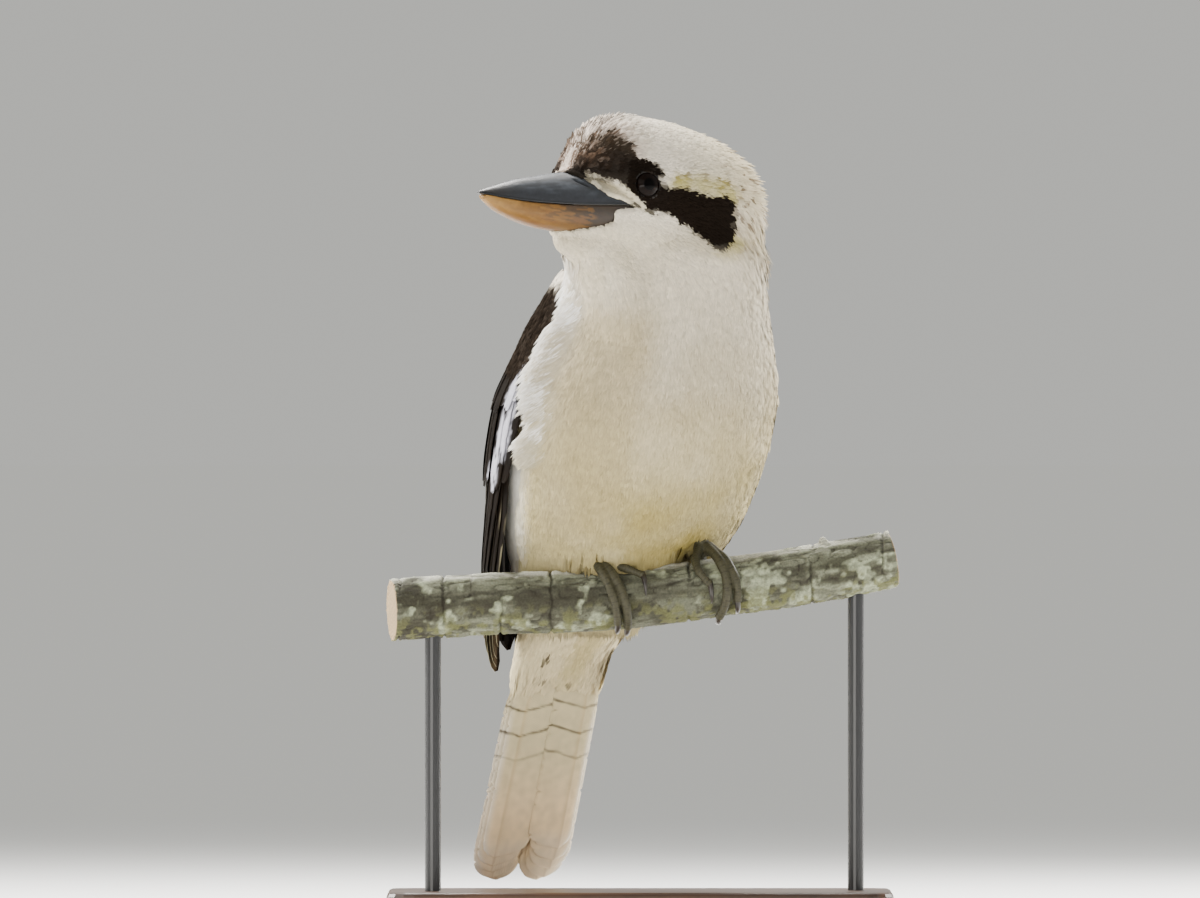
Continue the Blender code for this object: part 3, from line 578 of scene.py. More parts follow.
def eye_cover(points, soft):
    """1 over the shown part of an eye."""
    found = np.zeros(len(points))
    for centre, way in EYES.values():
        away = points - centre
        depth = away @ way
        off = np.linalg.norm(away - depth[:, None] * way, axis=1)
        found = np.maximum(found, smooth(soft, -soft, off - EYE_SHOWN_RADIUS - 0.0003) * (depth > 0))
    return found


def crown_shares(points):
    """How far a place lies in the crown's streaked front, its brown middle line, and the brown brow patch."""
    back, left, up = head_place(points)
    fine, lumps = cloud(points, 0.0011, 3), cloud(points, 0.0045, 4)
    frayed = 0.0013 * (fine - 0.5) + 0.0009 * (lumps - 0.5)
    front = smooth(0.086, 0.07, back) * smooth(0.011, 0.015, up)
    middle = smooth(0.012, 0.005, np.abs(left) + 0.004 * (lumps - 0.5))
    middle = middle * smooth(0.137, 0.112, back) * smooth(0.018, 0.026, up)
    brow = inside(BROWN_OUTLINE, back + frayed, up + frayed, 0.0018)
    brow = brow * np.where(left > 0, smooth(0.0, 0.003, left), smooth(0.005, 0.009, -left))
    return front, middle, brow


def head_colours(points):
    """White with a dark mask behind the eye, a brown brow patch and crown line, and olive patches."""
    back, left, up = head_place(points)
    wide = np.abs(left)
    fine, lumps = cloud(points, 0.0011, 3), cloud(points, 0.0045, 4)
    frayed = 0.0016 * (fine - 0.5) + 0.0008 * (lumps - 0.5)
    rear = smooth(0.108, 0.135, back)
    nape = rear * smooth(-0.03, -0.01, up)
    specks = smooth(0.64, 0.8, drawn_out(back, left, up, 0.3, 0.0012, 8))
    above_mask = smooth(0.08, 0.1, back) * smooth(0.006, 0.012, up) * smooth(0.024, 0.014, up)
    front, middle, brow = crown_shares(points)
    over_crown = np.stack([wide, left * 0, back * 0.28], 1) + np.array((0, 0, 1))
    streaks = smooth(0.42, 0.6, cloud(over_crown, 0.0009, 12))
    rosy = 0.18 + 0.6 * streaks + 0.22 * smooth(0.066, 0.056, back)
    # Rosy and pale strands run through the brow patch's front and top
    strands = smooth(0.4, 0.66, drawn_out(back, left, up, 0.16, 0.0015, 14))
    loose = smooth(0.0715, 0.06, back) * smooth(0.014, 0.023, up)
    near_eye = np.maximum(smooth(0.027, 0.017, up - 0.25 * (0.079 - back)), smooth(0.0735, 0.079, back))
    brown = layered(
        CROWN_BROWN,
        (MASK_BROWN, near_eye),
        (ROSE_BROWN, 0.62 * strands * loose + 0.16 * loose),
        (PINK_WHITE, 0.22 * smooth(0.55, 0.8, strands * lumps + 0.25) * loose),
        (ROSE_BROWN, 0.38 * strands * smooth(0.022, 0.031, up)),
    )
    lores = inside(LORES_OUTLINE, back + 0.5 * frayed, up, 0.0006) * (wide > 0.006)
    shaded = smooth(0.07, 0.06, back)
    lore_colours = mixed(WHITE, YELLOW_OLIVE, 0.3) * (1 - 0.35 * shaded)[:, None]
    mask = inside(MASK_OUTLINE, back + frayed, up + frayed, 0.0008) * (wide > 0.01) * (1 - lores)
    gape = smooth(0.001, 0.0004, np.abs(up + 0.0008 + 0.28 * (back - 0.078))) * smooth(0.09, 0.087, back)
    gape = gape * smooth(0.072, 0.076, back) * (wide > 0.012)
    return layered(
        WHITE,
        (CREAM, 0.45 * smooth(0.085, 0.12, back) * smooth(-0.004, 0.012, up)),
        # Below the bill's line the throat is painted greyer, darker and more olive, as painted shade with a
        # painted green reflection
        (GREY_BEIGE, 0.4 * smooth(-0.004, -0.02, up) * lumps),
        (BREAST_WHITE_SHADED, 0.7 * smooth(0.004, -0.01, up)),
        (OLIVE_STAIN_AND_REFLECTION, 0.28 * smooth(0.0, -0.016, up) * (0.5 + 0.5 * lumps)),
        (GREY_BEIGE, 0.55 * nape),
        (OLIVE_STAIN_AND_REFLECTION, 0.16 * nape * (0.4 + 0.6 * lumps)),
        (SPECK_BROWN, 0.85 * specks * rear * smooth(-0.022, -0.004, up)),
        (SPECK_BROWN, 0.65 * specks * above_mask),
        (PINK_WHITE, 0.8 * front),
        (ROSE_BROWN, front * rosy * smooth(0.042, 0.031, up + 0.3 * (back - 0.07))),
        (CROWN_BROWN, middle * (0.25 + 0.5 * streaks)),
        (brown, 0.98 * smooth(0.0, 0.75, brow)),
        (YELLOW_OLIVE, 0.9 * inside(TINT_OUTLINE, back, up, 0.003) * (0.5 + 0.5 * lumps)),
        (YELLOW_OLIVE, 0.55 * inside(BELOW_MASK_OUTLINE, back, up, 0.002)),
        (lore_colours, lores * (1 - 0.25 * shaded)),
        (MASK_BROWN, mask),
        (MASK_BROWN, 0.85 * gape),
    )


def edge_of_feather(points, colours):
    """The colour of a small feather's outer barbs, which are paler than its middle on the crown and brow."""
    front, middle, brow = crown_shares(points)
    patchy = smooth(0.48, 0.7, cloud(points, 0.0024, 13))
    back, _, up = head_place(points)
    paler = brow * patchy * smooth(0.0185, 0.026, up) * smooth(0.08, 0.072, back)
    return layered(
        colours,
        (PINK_WHITE, 0.5 * np.maximum(front, 0.5 * middle) * (1 - brow)),
        (mixed(PINK_WHITE, SPECK_BROWN, 0.55), 0.25 * paler),
    )


def body_colours(points):
    """Off-white in painted shade, olive down breast and belly as painted green reflection and stain, and a
    brown back.
    """
    angle, side, _ = body_place(points)
    z = points[:, 2]
    lumps = cloud(points, 0.012, 21)
    fine = cloud(points * np.array((1, 1, 0.4)), 0.0022, 22)
    # Painted shade, greyer and greener, beside the fringe, and painted rim light, white, along the wing's lower
    # edge
    fringe_painted_shade = smooth(24, 44, angle) * smooth(84, 66, angle) * smooth(0.285, 0.262, z) * smooth(0.16, 0.19, z)
    painted_light = smooth(78, 97, angle) * smooth(0.222, 0.205, z) * smooth(0.145, 0.155, z)
    off_middle = np.abs(leftward(points) + 0.006)
    stain = smooth(0.205, 0.172, z) * smooth(0.046, 0.01, off_middle) * smooth(85, 30, angle)
    # The back is brown from a soft edge under the nape down between the wings
    edge = 113 + 12 * smooth(0.262, 0.292, z) + 10 * (fine - 0.5)
    back = smooth(-7, 7, angle - edge) * smooth(0.296, 0.284, z + 0.006 * (fine - 0.5))
    # The breast's off-white and grey-beige are painted darker than the feathers' own white, as painted shade
    return layered(
        BREAST_WHITE_SHADED,
        (GREY_BEIGE, 0.05 + 0.35 * lumps * smooth(0.3, 0.25, z)),
        (CREAM, 0.45 * smooth(0.25, 0.19, z)),
        # The olive growing down the breast and belly is a painted green reflection in the shade below
        (OLIVE_STAIN_AND_REFLECTION, 0.1 + 0.52 * smooth(0.28, 0.19, z) * (0.6 + 0.4 * lumps)),
        (mixed(GREY_BEIGE, OLIVE_STAIN_AND_REFLECTION, 0.45), 0.62 * fringe_painted_shade * (side < 0)),
        (SNOW_WHITE, 0.8 * painted_light),
        (OLIVE_STAIN_AND_REFLECTION * 0.85, 0.8 * stain * (0.45 + 0.55 * lumps)),
        (mixed(CREAM, OLIVE_STAIN_AND_REFLECTION, 0.25), 0.7 * smooth(0.15, 0.136, z)),
        (mixed(MANTLE_BROWN, WING_EDGE, 0.35 * smooth(0.55, 0.8, fine)), back),
    )


def coat_colours(points):
    """The coat's and the skin's colour at places on the head and body."""
    z = points[:, 2]
    share = smooth(0.29, 0.302, z)
    back, _, _ = head_place(points)
    share = np.maximum(share, smooth(0.1, 0.08, back) * smooth(0.268, 0.29, z))
    return mixed(body_colours(points), head_colours(points), share)


def coat_depth(points):
    """How thick the coat is: thin by the bill and eyes, deepest on the breast and belly."""
    back, _, _ = head_place(points)
    head = 0.0004 + 0.0016 * smooth(0.062, 0.115, back)
    for centre, _ in EYES.values():
        near = np.linalg.norm(points - centre, axis=1)
        head = np.minimum(head, 0.0002 + 0.1 * np.maximum(near - 0.0085, 0))
    body = 0.0028 - 0.0008 * smooth(0.165, 0.15, points[:, 2])
    return head + (body - head) * smooth(0.296, 0.272, points[:, 2])


def coat_length(points):
    """How long the small feathers are."""
    back, _, up = head_place(points)
    z = points[:, 2]
    head = 0.0026 + 0.0054 * smooth(0.056, 0.125, back)
    head = head + 0.0016 * smooth(0.016, 0.026, up) * smooth(0.1, 0.08, back)
    body = 0.01 + 0.002 * smooth(0.27, 0.22, z) - 0.0035 * smooth(0.17, 0.152, z)
    return head + (body - head) * smooth(0.3, 0.27, z)


def coat_flow(points, normals):
    """Which way the feathers lie: back from the bill over the head, and down the body towards the tail."""
    back, _, up = head_place(points)
    high = smooth(-0.004, 0.012, up)
    to_rear = np.maximum(smooth(0.15, 0.1, back), high)[:, None]
    drop = (0.1 + 0.5 * smooth(0.004, -0.012, up))[:, None]
    over_head = -BILL_WAY * to_rear - UP * (1.0 - to_rear + drop * to_rear)
    down = -UP - FORWARD * 0.32
    share = headward(points)[:, None]
    way = unit(over_head) * share + unit(down)[None] * (1 - share)
    return laid(way, normals)


# The eyes' middles and the ways they look
def eye_places():
    found = {}
    for name, side in (("left", 1), ("right", -1)):
        low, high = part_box(f"eye_{name}")
        way = unit(HEAD_LEFT * side + BILL_WAY * 0.48 + HEAD_UP * 0.06)
        found[name] = (np.array((low + high) / 2), way)
    return found


EYES = eye_places()
SHARED = {}


def coat_form():
    """The outline that the coat reaches: head, neck, torso, shanks and bill's root as one smooth surface."""
    if "form" in SHARED:
        return SHARED["form"]
    nodes = ("head", "neck", "torso", "leg_left", "leg_right")
    nodes += ("eye_left", "eye_right", "bill_upper", "bill_lower")
    form = copy_of_nodes("coat_form", nodes, 0.00022)
    apply_modifier(form, "REMESH", mode="VOXEL", voxel_size=0.0013)
    apply_modifier(form, "SMOOTH", factor=0.5, iterations=6)
    work = bmesh.new()
    work.from_mesh(form.data)
    cut = in_head(0.047, 0, 0)
    geometry = work.verts[:] + work.edges[:] + work.faces[:]
    found = bmesh.ops.bisect_plane(work, geom=geometry, plane_co=cut, plane_no=BILL_WAY, clear_outer=True)
    rim = [item for item in found["geom_cut"] if isinstance(item, bmesh.types.BMEdge)]
    bmesh.ops.holes_fill(work, edges=rim, sides=0)
    for _ in range(2):
        edges = []
        for edge in work.edges:
            back, left, up = head_place(np.array((edge.verts[0].co + edge.verts[1].co) / 2))
            if back < 0.084 and abs(left) > 0.0005 and -0.016 < up < 0.016:
                edges.append(edge)
        bmesh.ops.subdivide_edges(work, edges=edges, cuts=1, use_grid_fill=True)
    bmesh.ops.triangulate(work, faces=work.faces)
    work.to_mesh(form.data)
    work.free()
    form.hide_render = True
    points, normals = points_of(form.data), normals_of(form.data)
    back, _, up = head_place(points)
    band = smooth(0.0165, 0.0125, up) * smooth(-0.0145, -0.012, up)
    padded = (1 - bare(points)) * smooth(0.084, 0.074, back) * band
    move_points(form.data, points + normals * (0.0009 * padded)[:, None])
    points, normals, triangles = points_of(form.data), normals_of(form.data), triangles_of(form.data)
    SHARED["form"] = {"points": points, "normals": normals, "triangles": triangles, "object": form}
    return SHARED["form"]


def tree_of(points, triangles):
    return BVHTree.FromPolygons(points.tolist(), triangles.tolist())


def tree_with_coat(points, triangles):
    """A search tree over the coat's outline and one more surface."""
    form = coat_form()
    joined = np.concatenate([form["points"], points])
    return tree_of(joined, np.concatenate([form["triangles"], triangles + len(form["points"])]))


def node_surface(names):
    """The points and triangles of some CAD nodes together."""
    points, triangles, count = [], [], 0
    for name in names:
        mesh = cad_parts[name].data
        points.append(points_of(mesh))
        triangles.append(triangles_of(mesh) + count)
        count += len(points[-1])
    return np.concatenate(points), np.concatenate(triangles)


def scatter(points, normals, triangles, spacing, chance):
    """Evenly strewn places on a surface, one for each square of the spacing, and the way out of it there."""
    a, b, c = (points[triangles[:, k]] for k in range(3))
    areas = np.linalg.norm(np.cross(b - a, c - a), axis=1) / 2
    reached = np.cumsum(areas)
    count = int(reached[-1] / spacing**2)
    marks = (np.arange(count) + chance.random(count)) / count * reached[-1]
    picked = np.minimum(np.searchsorted(reached, marks), len(triangles) - 1)
    u, v = chance.random(count), chance.random(count)
    over = u + v > 1
    u, v = np.where(over, 1 - u, u)[:, None], np.where(over, 1 - v, v)[:, None]
    corners = triangles[picked]
    places = points[corners[:, 0]] * (1 - u - v) + points[corners[:, 1]] * u + points[corners[:, 2]] * v
    ways = normals[corners[:, 0]] * (1 - u - v) + normals[corners[:, 1]] * u + normals[corners[:, 2]] * v
    return places, unit(ways)


def nearest_on(tree, places):
    """The nearest places on a surface and its ways out there."""
    spots, ways = [], []
    for place in places:
        spot, way, _, _ = tree.find_nearest(place)
        spots.append(spot)
        ways.append(way)
    return np.array(spots), np.array(ways)


# Where along a barb it is drawn, with how far the fan has opened and how broad the barb is there
BARB_STATIONS = (0.0, 0.42, 0.78, 1.0)
FAN_OPENED = np.interp(BARB_STATIONS, (0, 0.3, 0.7, 1.0), (0.3, 0.85, 1.0, 0.92))
BARB_BREADTH = np.interp(BARB_STATIONS, (0, 0.35, 0.75, 1.0), (0.55, 1.0, 0.8, 0.0))


def tuft_rows(spots, out, width, colours, tip_colours, edge_colours, places):
    """What tuft_piece needs of each tuft. The spots are roots, bends and tips."""
    keys = ("root", "bend", "tip", "out", "width", "colour", "tip_colour", "edge_colour", "map")
    return dict(zip(keys, (*spots, out, width, colours, tip_colours, edge_colours, places)))


def tuft_piece(name, tufts, barbs, chance):
    """Small feathers as fans of tapered barbs. Each bends from its root over a control point to its tip. The
    barbs are fewer and broader than life, and give the eye soft strands where real down blurs."""
    root, bend, tip = tufts["root"], tufts["bend"], tufts["tip"]
    out, width = tufts["out"], tufts["width"][:, None]
    count = len(root)
    fan = np.linspace(-1, 1, barbs)[None, :] + chance.uniform(-0.2, 0.2, (count, barbs)) / barbs
    reach = 1 - 0.22 * fan**2 - 0.14 * chance.random((count, barbs))
    roll = chance.normal(0, 0.06, count)[:, None]
    along = unit(tip - root)
    across = unit(np.cross(out, along))
    across = unit(across * np.cos(roll) + np.cross(along, across) * np.sin(roll))
    barb = width / barbs * 0.95
    rise = chance.uniform(-0.00004, 0.00004, (count, barbs))
    rows, shares, sides, ways = [], [], [], []
    for station, opened, broad in zip(BARB_STATIONS, FAN_OPENED, BARB_BREADTH):
        t = (station * reach)[..., None]
        middle = (1 - t) ** 2 * root[:, None] + 2 * t * (1 - t) * bend[:, None] + t**2 * tip[:, None]
        aside = fan * width / 2 * opened
        sunk = rise - 0.06 * fan**2 * width * opened
        spot = middle + across[:, None] * aside[..., None] + out[:, None] * sunk[..., None]
        half = (barb * broad)[..., None] * np.ones((1, barbs, 1))
        for turn in (-1, 1) if station < BARB_STATIONS[-1] else (0,):
            rows.append(spot + across[:, None] * half * turn)
            shares.append(station * reach)
            sides.append(fan)
            lean = 0.22 * fan[..., None] + 0.3 * turn
            ways.append(out[:, None] + across[:, None] * lean + along[:, None] * (0.1 * (2 * station - 1)))
    points = np.stack(rows, axis=2).reshape(-1, 3)
    normals = unit(np.stack(ways, axis=2).reshape(-1, 3))
    share = np.stack(shares, axis=2).reshape(-1)
    side = np.stack(sides, axis=2).reshape(-1)
    per_barb = len(rows)
    faces = []
    for a in range(0, per_barb - 3, 2):
        faces += [(a, a + 3, a + 1), (a, a + 2, a + 3)]
    faces.append((per_barb - 3, per_barb - 1, per_barb - 2))
    starts = np.arange(count * barbs) * per_barb
    triangles = (starts[:, None, None] + np.array(faces)[None]).reshape(-1, 3)
    made = mesh_piece(name, points, triangles)
    made.data.normals_split_custom_set_from_vertices(normals)
    owner = np.repeat(np.arange(count), barbs * per_barb)
    tone = np.repeat(chance.normal(0, 1, count * barbs), per_barb)
    edge = smooth(0.35, 0.85, np.abs(side) + 0.25 * tone)
    colours = layered(
        tufts["colour"][owner],
        (tufts["tip_colour"][owner], smooth(0.35, 1.0, share)),
        (tufts["edge_colour"][owner], edge),
    )
    paint_points(made, colours * (1 + 0.045 * tone + 0.04 * chance.normal(0, 1, count)[owner])[:, None])
    patch = np.stack([side * 0.0015, (share - 0.5) * 0.003], axis=1)
    lay_map(made, "OFBake", tufts["map"][owner] + patch)
    return made


def take(tufts, chosen):
    return {key: rows[chosen] for key, rows in tufts.items()}


def bake_places(angle, height, low, high):
    """Where each root falls on an unwrap of the body's own shape, round it and up it."""
    return np.stack([0.02 + 0.96 * angle, 0.02 + 0.96 * (height - low) / (high - low)], axis=1)


def tuft_spacing(settings):
    return settings.coat_spacing * 1.0


# Finding the places of the small feathers
def settle(places, normals, flows, lengths, depths, stands, tree, chance, free=0.0):
    """The root, bend and tip of feathers that start under the outline and come out along it. For its free
    share, a tip keeps straight on where the outline falls away."""
    count = len(places)
    turn = chance.normal(0, 0.09, count)[:, None]
    flows = unit(flows * np.cos(turn) + np.cross(normals, flows) * np.sin(turn))
    straight = places + flows * lengths[:, None]
    ends, ways = nearest_on(tree, straight)
    ways = unit(ways)
    tips = ends + ways * stands[:, None] + (straight - ends) * np.reshape(free, (-1, 1))
    roots = places - normals * depths[:, None] - flows * (lengths * 0.15)[:, None]
    bends = (places + ends) / 2 + normals * (0.0002 + lengths * 0.03)[:, None]
    return roots, bends, tips


def body_tufts(settings):
    """The places of all small feathers on the head, neck and torso."""
    form = coat_form()
    chance = np.random.default_rng(41)
    spacing = tuft_spacing(settings)
    places, normals = scatter(form["points"], form["normals"], form["triangles"], spacing * 0.58, chance)
    back, _, _ = head_place(places)
    fine = headward(places)
    # The strewing is dense enough for the head, and the body keeps a share of it
    face = smooth(0.11, 0.075, back) * fine
    wanted = 0.32 + 0.26 * fine + 0.42 * face
    keep = chance.random(len(places)) < wanted
    keep &= bare(places) < 0.5
    both_wings = node_surface(("wing_left", "wing_right"))
    wings = tree_of(*both_wings)
    perch = tree_of(*node_surface(("perch",)))
    for i in np.flatnonzero(keep):
        start = Vector(places[i])
        way = Vector(normals[i])
        if wings.ray_cast(start + way * 0.0002, way, 0.009)[0] is not None:
            keep[i] = wings.ray_cast(start - Vector(FORWARD) * 0.0035, way, 0.012)[0] is None
        if keep[i] and places[i, 2] < 0.15:
            keep[i] = perch.ray_cast(start, way, 0.003)[0] is None
    places, normals = places[keep], normals[keep]
    flows = coat_flow(places, normals)
    lengths = coat_length(places) * chance.uniform(0.82, 1.15, len(places))
    for centre, way in EYES.values():
        ahead = centre + way * 0.0055 - places
        off = np.linalg.norm(ahead, axis=1)
        towards = np.sum(flows * unit(ahead), axis=1) > 0.2
        room = np.maximum(off - EYE_SHOWN_RADIUS - 0.0009, 0.0008)
        lengths = np.where(towards & (off < 0.02), np.minimum(lengths, room), lengths)
    # The belly's lowest feathers hang straight down to the perch, and the back's lowest cover the tail's root
    z = places[:, 2]
    angle, side, _ = body_place(places)
    belly = smooth(0.176, 0.166, z) * smooth(112, 85, angle)
    rump = smooth(0.162, 0.15, z) * smooth(118, 132, angle)
    flows = unit(mixed(flows, -UP[None] - 0.15 * normals, 0.9 * belly))
    flows = unit(mixed(flows, TAIL_DOWN[None] + 0.1 * normals, rump))
    lengths = lengths + 0.0015 * belly + 0.008 * rump
    depths = np.minimum(coat_depth(places), lengths * 0.45)
    on_head = headward(places)
    stands = chance.uniform(0.0, 0.00025, len(places))
    # Some feathers of nape and crest stand loose, as bristles: longer, narrower and further off
    back, _, up = head_place(places)
    nape = smooth(0.112, 0.14, back) * on_head
    crest = smooth(0.022, 0.029, up) * smooth(0.088, 0.074, back) * smooth(0.054, 0.062, back)
    bristly = np.maximum(nape, 0.6 * crest)
    loose = chance.random(len(places)) < 0.02 + 0.3 * bristly
    stands += loose * chance.uniform(0.0003, 0.001, len(places)) * (1 + 1.6 * bristly)
    lengths = lengths * (1 + 0.45 * loose * bristly)
    free = nape * chance.uniform(0.2, 0.9, len(places)) * smooth(-0.012, 0.004, up)
    free = np.maximum(free, loose * bristly * smooth(-0.02, -0.004, up))
    free = np.maximum(free, np.maximum(belly, rump))
    tree = tree_with_coat(*both_wings)
    spots = settle(places, normals, flows, lengths, depths, stands, tree, chance, free)
    # A tuft shows near its tip, so that is where its markings are read
    shown = spots[0] * 0.3 + spots[2] * 0.7
    colours = coat_colours(shown)
    pale = smooth(0.1, 0.3, colours.mean(axis=1))[:, None]
    tip_colours = colours * (1 + 0.04 * pale) + (1 - pale) * WING_EDGE * 0.1
    widths = (lengths * (0.3 + 0.12 * (1 - on_head)) + 0.0004) * (1 - 0.45 * loose * bristly)
    unwrapped = bake_places((side * angle / 180 + 1) / 2, z, float(z.min()), float(z.max()))
    edge_colours = edge_of_feather(shown, tip_colours)
    tufts = tuft_rows(spots, normals, widths, colours, tip_colours, edge_colours, unwrapped)
    return tufts | {"place": places, "angle": angle * np.where(side == 0, 1, side)}


class KookaburraSizes(bpy.types.PropertyGroup):
    """Sizes and colours of the kookaburra that a user may change."""

    coat_spacing: bpy.props.FloatProperty(
        name="Coat spacing",
        description="Distance between neighbouring small feathers on the breast, coarser than life",
        default=0.00145, min=0.0008, max=0.005, precision=5, unit="LENGTH",
    )
    barb_pitch: bpy.props.FloatProperty(
        name="Barb pitch",
        description="Spacing of the ribs on the flight feathers, drawn coarser than life so that they show",
        default=0.0009, min=0.0002, max=0.003, precision=5, unit="LENGTH",
    )
    bark_relief: bpy.props.FloatProperty(
        name="Bark relief",
        description="Depth of the bark's cracks and plates",
        default=0.0012, min=0.0, max=0.003, precision=5, unit="LENGTH",
    )
    floor_colour: bpy.props.FloatVectorProperty(
        name="Floor colour",
        description="Colour of the plain floor",
        default=tuple(linear("#fefefd")), min=0.0, max=1.0, size=3, subtype="COLOR",
    )
    key_power: bpy.props.FloatProperty(
        name="Key light",
        description="Power of the large soft light from the front",
        default=8.0, min=0.0, max=200.0, unit="POWER",
    )
    rim_power: bpy.props.FloatProperty(
        name="Rim lights",
        description="Power of each soft light behind the bird",
        default=100.0, min=0.0, max=600.0, unit="POWER",
    )


class KOOKABURRA_OT_skin(bpy.types.Operator):
    """Make the skin under the feathers of head, neck, torso and shanks"""

    bl_idname = "kookaburra.skin"
    bl_label = "Skin"

    def execute(self, context):
        form = coat_form()
        made = new_object("skin", form["object"].data.copy())
        points, normals = form["points"], form["normals"]
        inwards = coat_depth(points) * 0.8 + 0.0016 * bare(points)
        move_points(made.data, points - normals * inwards[:, None])
        # The skin carries the coat's markings, darkened as painted shade under the feathers
        paint_points(made, coat_colours(points) * SKIN_PAINTED_SHADE)
        material = down_feather("skin_and_down", 0.9, 0.1)
        dress(made, "skin", material, ("head", "neck", "torso", "leg_left", "leg_right"))
        return {"FINISHED"}


class KOOKABURRA_OT_small_feathers(bpy.types.Operator):
    """Lay the small feathers of the head, neck and body over the skin"""

    bl_idname = "kookaburra.small_feathers"
    bl_label = "Small feathers"

    def execute(self, context):
        tufts = body_tufts(context.scene.kookaburra)
        z, angle = tufts["place"][:, 2], tufts["angle"]
        back, left, up = head_place(tufts["place"])
        head = (z > 0.296) | ((back < 0.08) & (z > 0.285))
        head_part = np.where(left > 0, 0, 1) + np.where(back > 0.1, 2, 0)
        body_part = np.clip(np.floor((angle + 180) / 72), 0, 4)
        high = (z > 0.225).astype(int)
        names = {}
        for k, name in enumerate(("face_left", "face_right", "nape_left", "nape_right")):
            names[f"coat_{name}"] = head & (head_part == k)
        for k, name in enumerate(("back_right", "flank_right", "front", "flank_left", "back_left")):
            names[f"coat_upper_{name}"] = ~head & (body_part == k) & (high == 1)
            names[f"coat_lower_{name}"] = ~head & (body_part == k) & (high == 0)
        material = down_feather("soft_feather_barbs", 0.85, 0.02)
        for name, chosen in names.items():
            if not chosen.any():
                continue
            chance = np.random.default_rng(100 + len(name) + int(chosen.sum()))
            barbs = 3 if "face" in name or "nape" in name else 5
            made = tuft_piece(name, take(tufts, chosen), barbs, chance)
            dress(made, name, material, soft=False)
        return {"FINISHED"}


# Vanes of the wings and tail
VANE_THICKNESS = 0.00022
# Where a vane begins to round off to its tip, as a share of its length
BLUNT_FROM = {"flight": 0.8, "tail": 0.91, "covert": 0.66}


def vane_sheet(line, across, out, half_widths, kind, chance, rows=26, columns=9):
    """One large feather as a thin closed sheet with a ridge for its shaft. line, across and out are functions
    of the share of its length. Gives points, triangles, the share along, the place across from -1 to 1, and
    the face."""
    shares = np.linspace(0, 1, rows) ** 0.92
    places = np.linspace(-1, 1, columns)
    blunt = BLUNT_FROM[kind]
    notch = 1 - 0.16 * chance.random((rows, 2)) ** 9
    notch[:3] = 1
    inner, outer = half_widths
    half_width = (inner + outer) / 2
    points = [[], []]
    for i, share in enumerate(shares):
        middle, side, face = line(share), across(share), out(share)
        swell = min(1.0, 0.42 + 2.4 * share)
        end = max(0.0, (share - blunt) / (1 - blunt))
        rounding = swell * max(0.03, (1 - end**2.4)) ** 0.5
        for place in places:
            breadth = rounding * (inner if place < 0 else outer)
            edge = notch[i, 0 if place < 0 else 1] if abs(place) > 0.9 else 1.0
            shaft = max(0.0, 1 - abs(place) * 7) * 0.00016
            droop = -0.1 * half_width * place * place
            spot = middle + side * (place * breadth * edge) + face * droop
            depth = VANE_THICKNESS / 2 * (1 - 0.6 * abs(place)) + shaft
            for k, turn in ((0, 1), (1, -1)):
                points[k].append(spot + face * (turn * depth))
    upper, lower = np.array(points[0]), np.array(points[1])
    below = len(upper)
    triangles = []
    for i in range(rows - 1):
        for j in range(columns - 1):
            a, b = i * columns + j, i * columns + j + 1
            c, d = a + columns, b + columns
            triangles += [(a, b, d), (a, d, c)]
            triangles += [(below + a, below + d, below + b), (below + a, below + c, below + d)]
    rim = [i * columns for i in range(rows)] + [(rows - 1) * columns + j for j in range(1, columns)]
    rim += [i * columns + columns - 1 for i in reversed(range(rows - 1))]
    rim += list(reversed(range(1, columns - 1)))
    for a, b in zip(rim, rim[1:] + rim[:1]):
        triangles += [(a, b, below + b), (a, below + b, below + a)]
    along = np.tile(np.repeat(shares, columns), 2)
    aside = np.tile(np.tile(places, rows), 2)
    face_up = np.repeat((1, 0), below)
    points = np.concatenate([upper, lower])
    triangles = np.array(triangles)
    flat = points[triangles]
    volume = np.einsum("ij,ij->", flat[:, 0], np.cross(flat[:, 1], flat[:, 2]))
    return points, triangles if volume > 0 else triangles[:, ::-1], along, aside, face_up


def vane_piece(name, feathers):
    """Joins feathers, each a sheet, its length, half width and colours, into one piece. The vane map holds
    metres across and along, and OFBake a strip for each face of each feather."""
    points, triangles, vane_map, bake_map, paints, count = [], [], [], [], [], 0
    for k, (sheet, length, width, paint) in enumerate(feathers):
        spots, corners, along, aside, face_up = sheet
        points.append(spots)
        triangles.append(corners + count)
        vane_map.append(np.stack([aside * width, along * length], axis=1))
        strip = (2 * k + face_up + 0.5 + 0.44 * aside) / (2 * len(feathers))
        bake_map.append(np.stack([strip, 0.01 + 0.98 * along], axis=1))
        paints.append(paint)
        count += len(spots)
    made = mesh_piece(name, np.concatenate(points), np.concatenate(triangles))
    paint_points(made, np.concatenate(paints))
    lay_map(made, "vane", np.concatenate(vane_map))
    lay_map(made, "OFBake", np.concatenate(bake_map))
    return made


# The wings
def sheath_point(side, z, angle, height):
    """A place on a folded wing's sheath: angle is from breast round to back, height is off the sheath."""
    half_width, half_depth, forward = between(WING_SECTIONS, z)
    a = math.radians(angle)
    across = signed_power(math.sin(a), 2 / 2.15) * (half_width + height)
    ahead = signed_power(math.cos(a), 2 / 2.15) * (half_depth + height)
    return in_body(forward + ahead, side * across, z)


LEFT_WING_TURN = 11
# The turn that brings the left wing back is full at the leading edge and gone at this sheath angle
TURN_ENDS = 166
TURN_SPREAD = 78
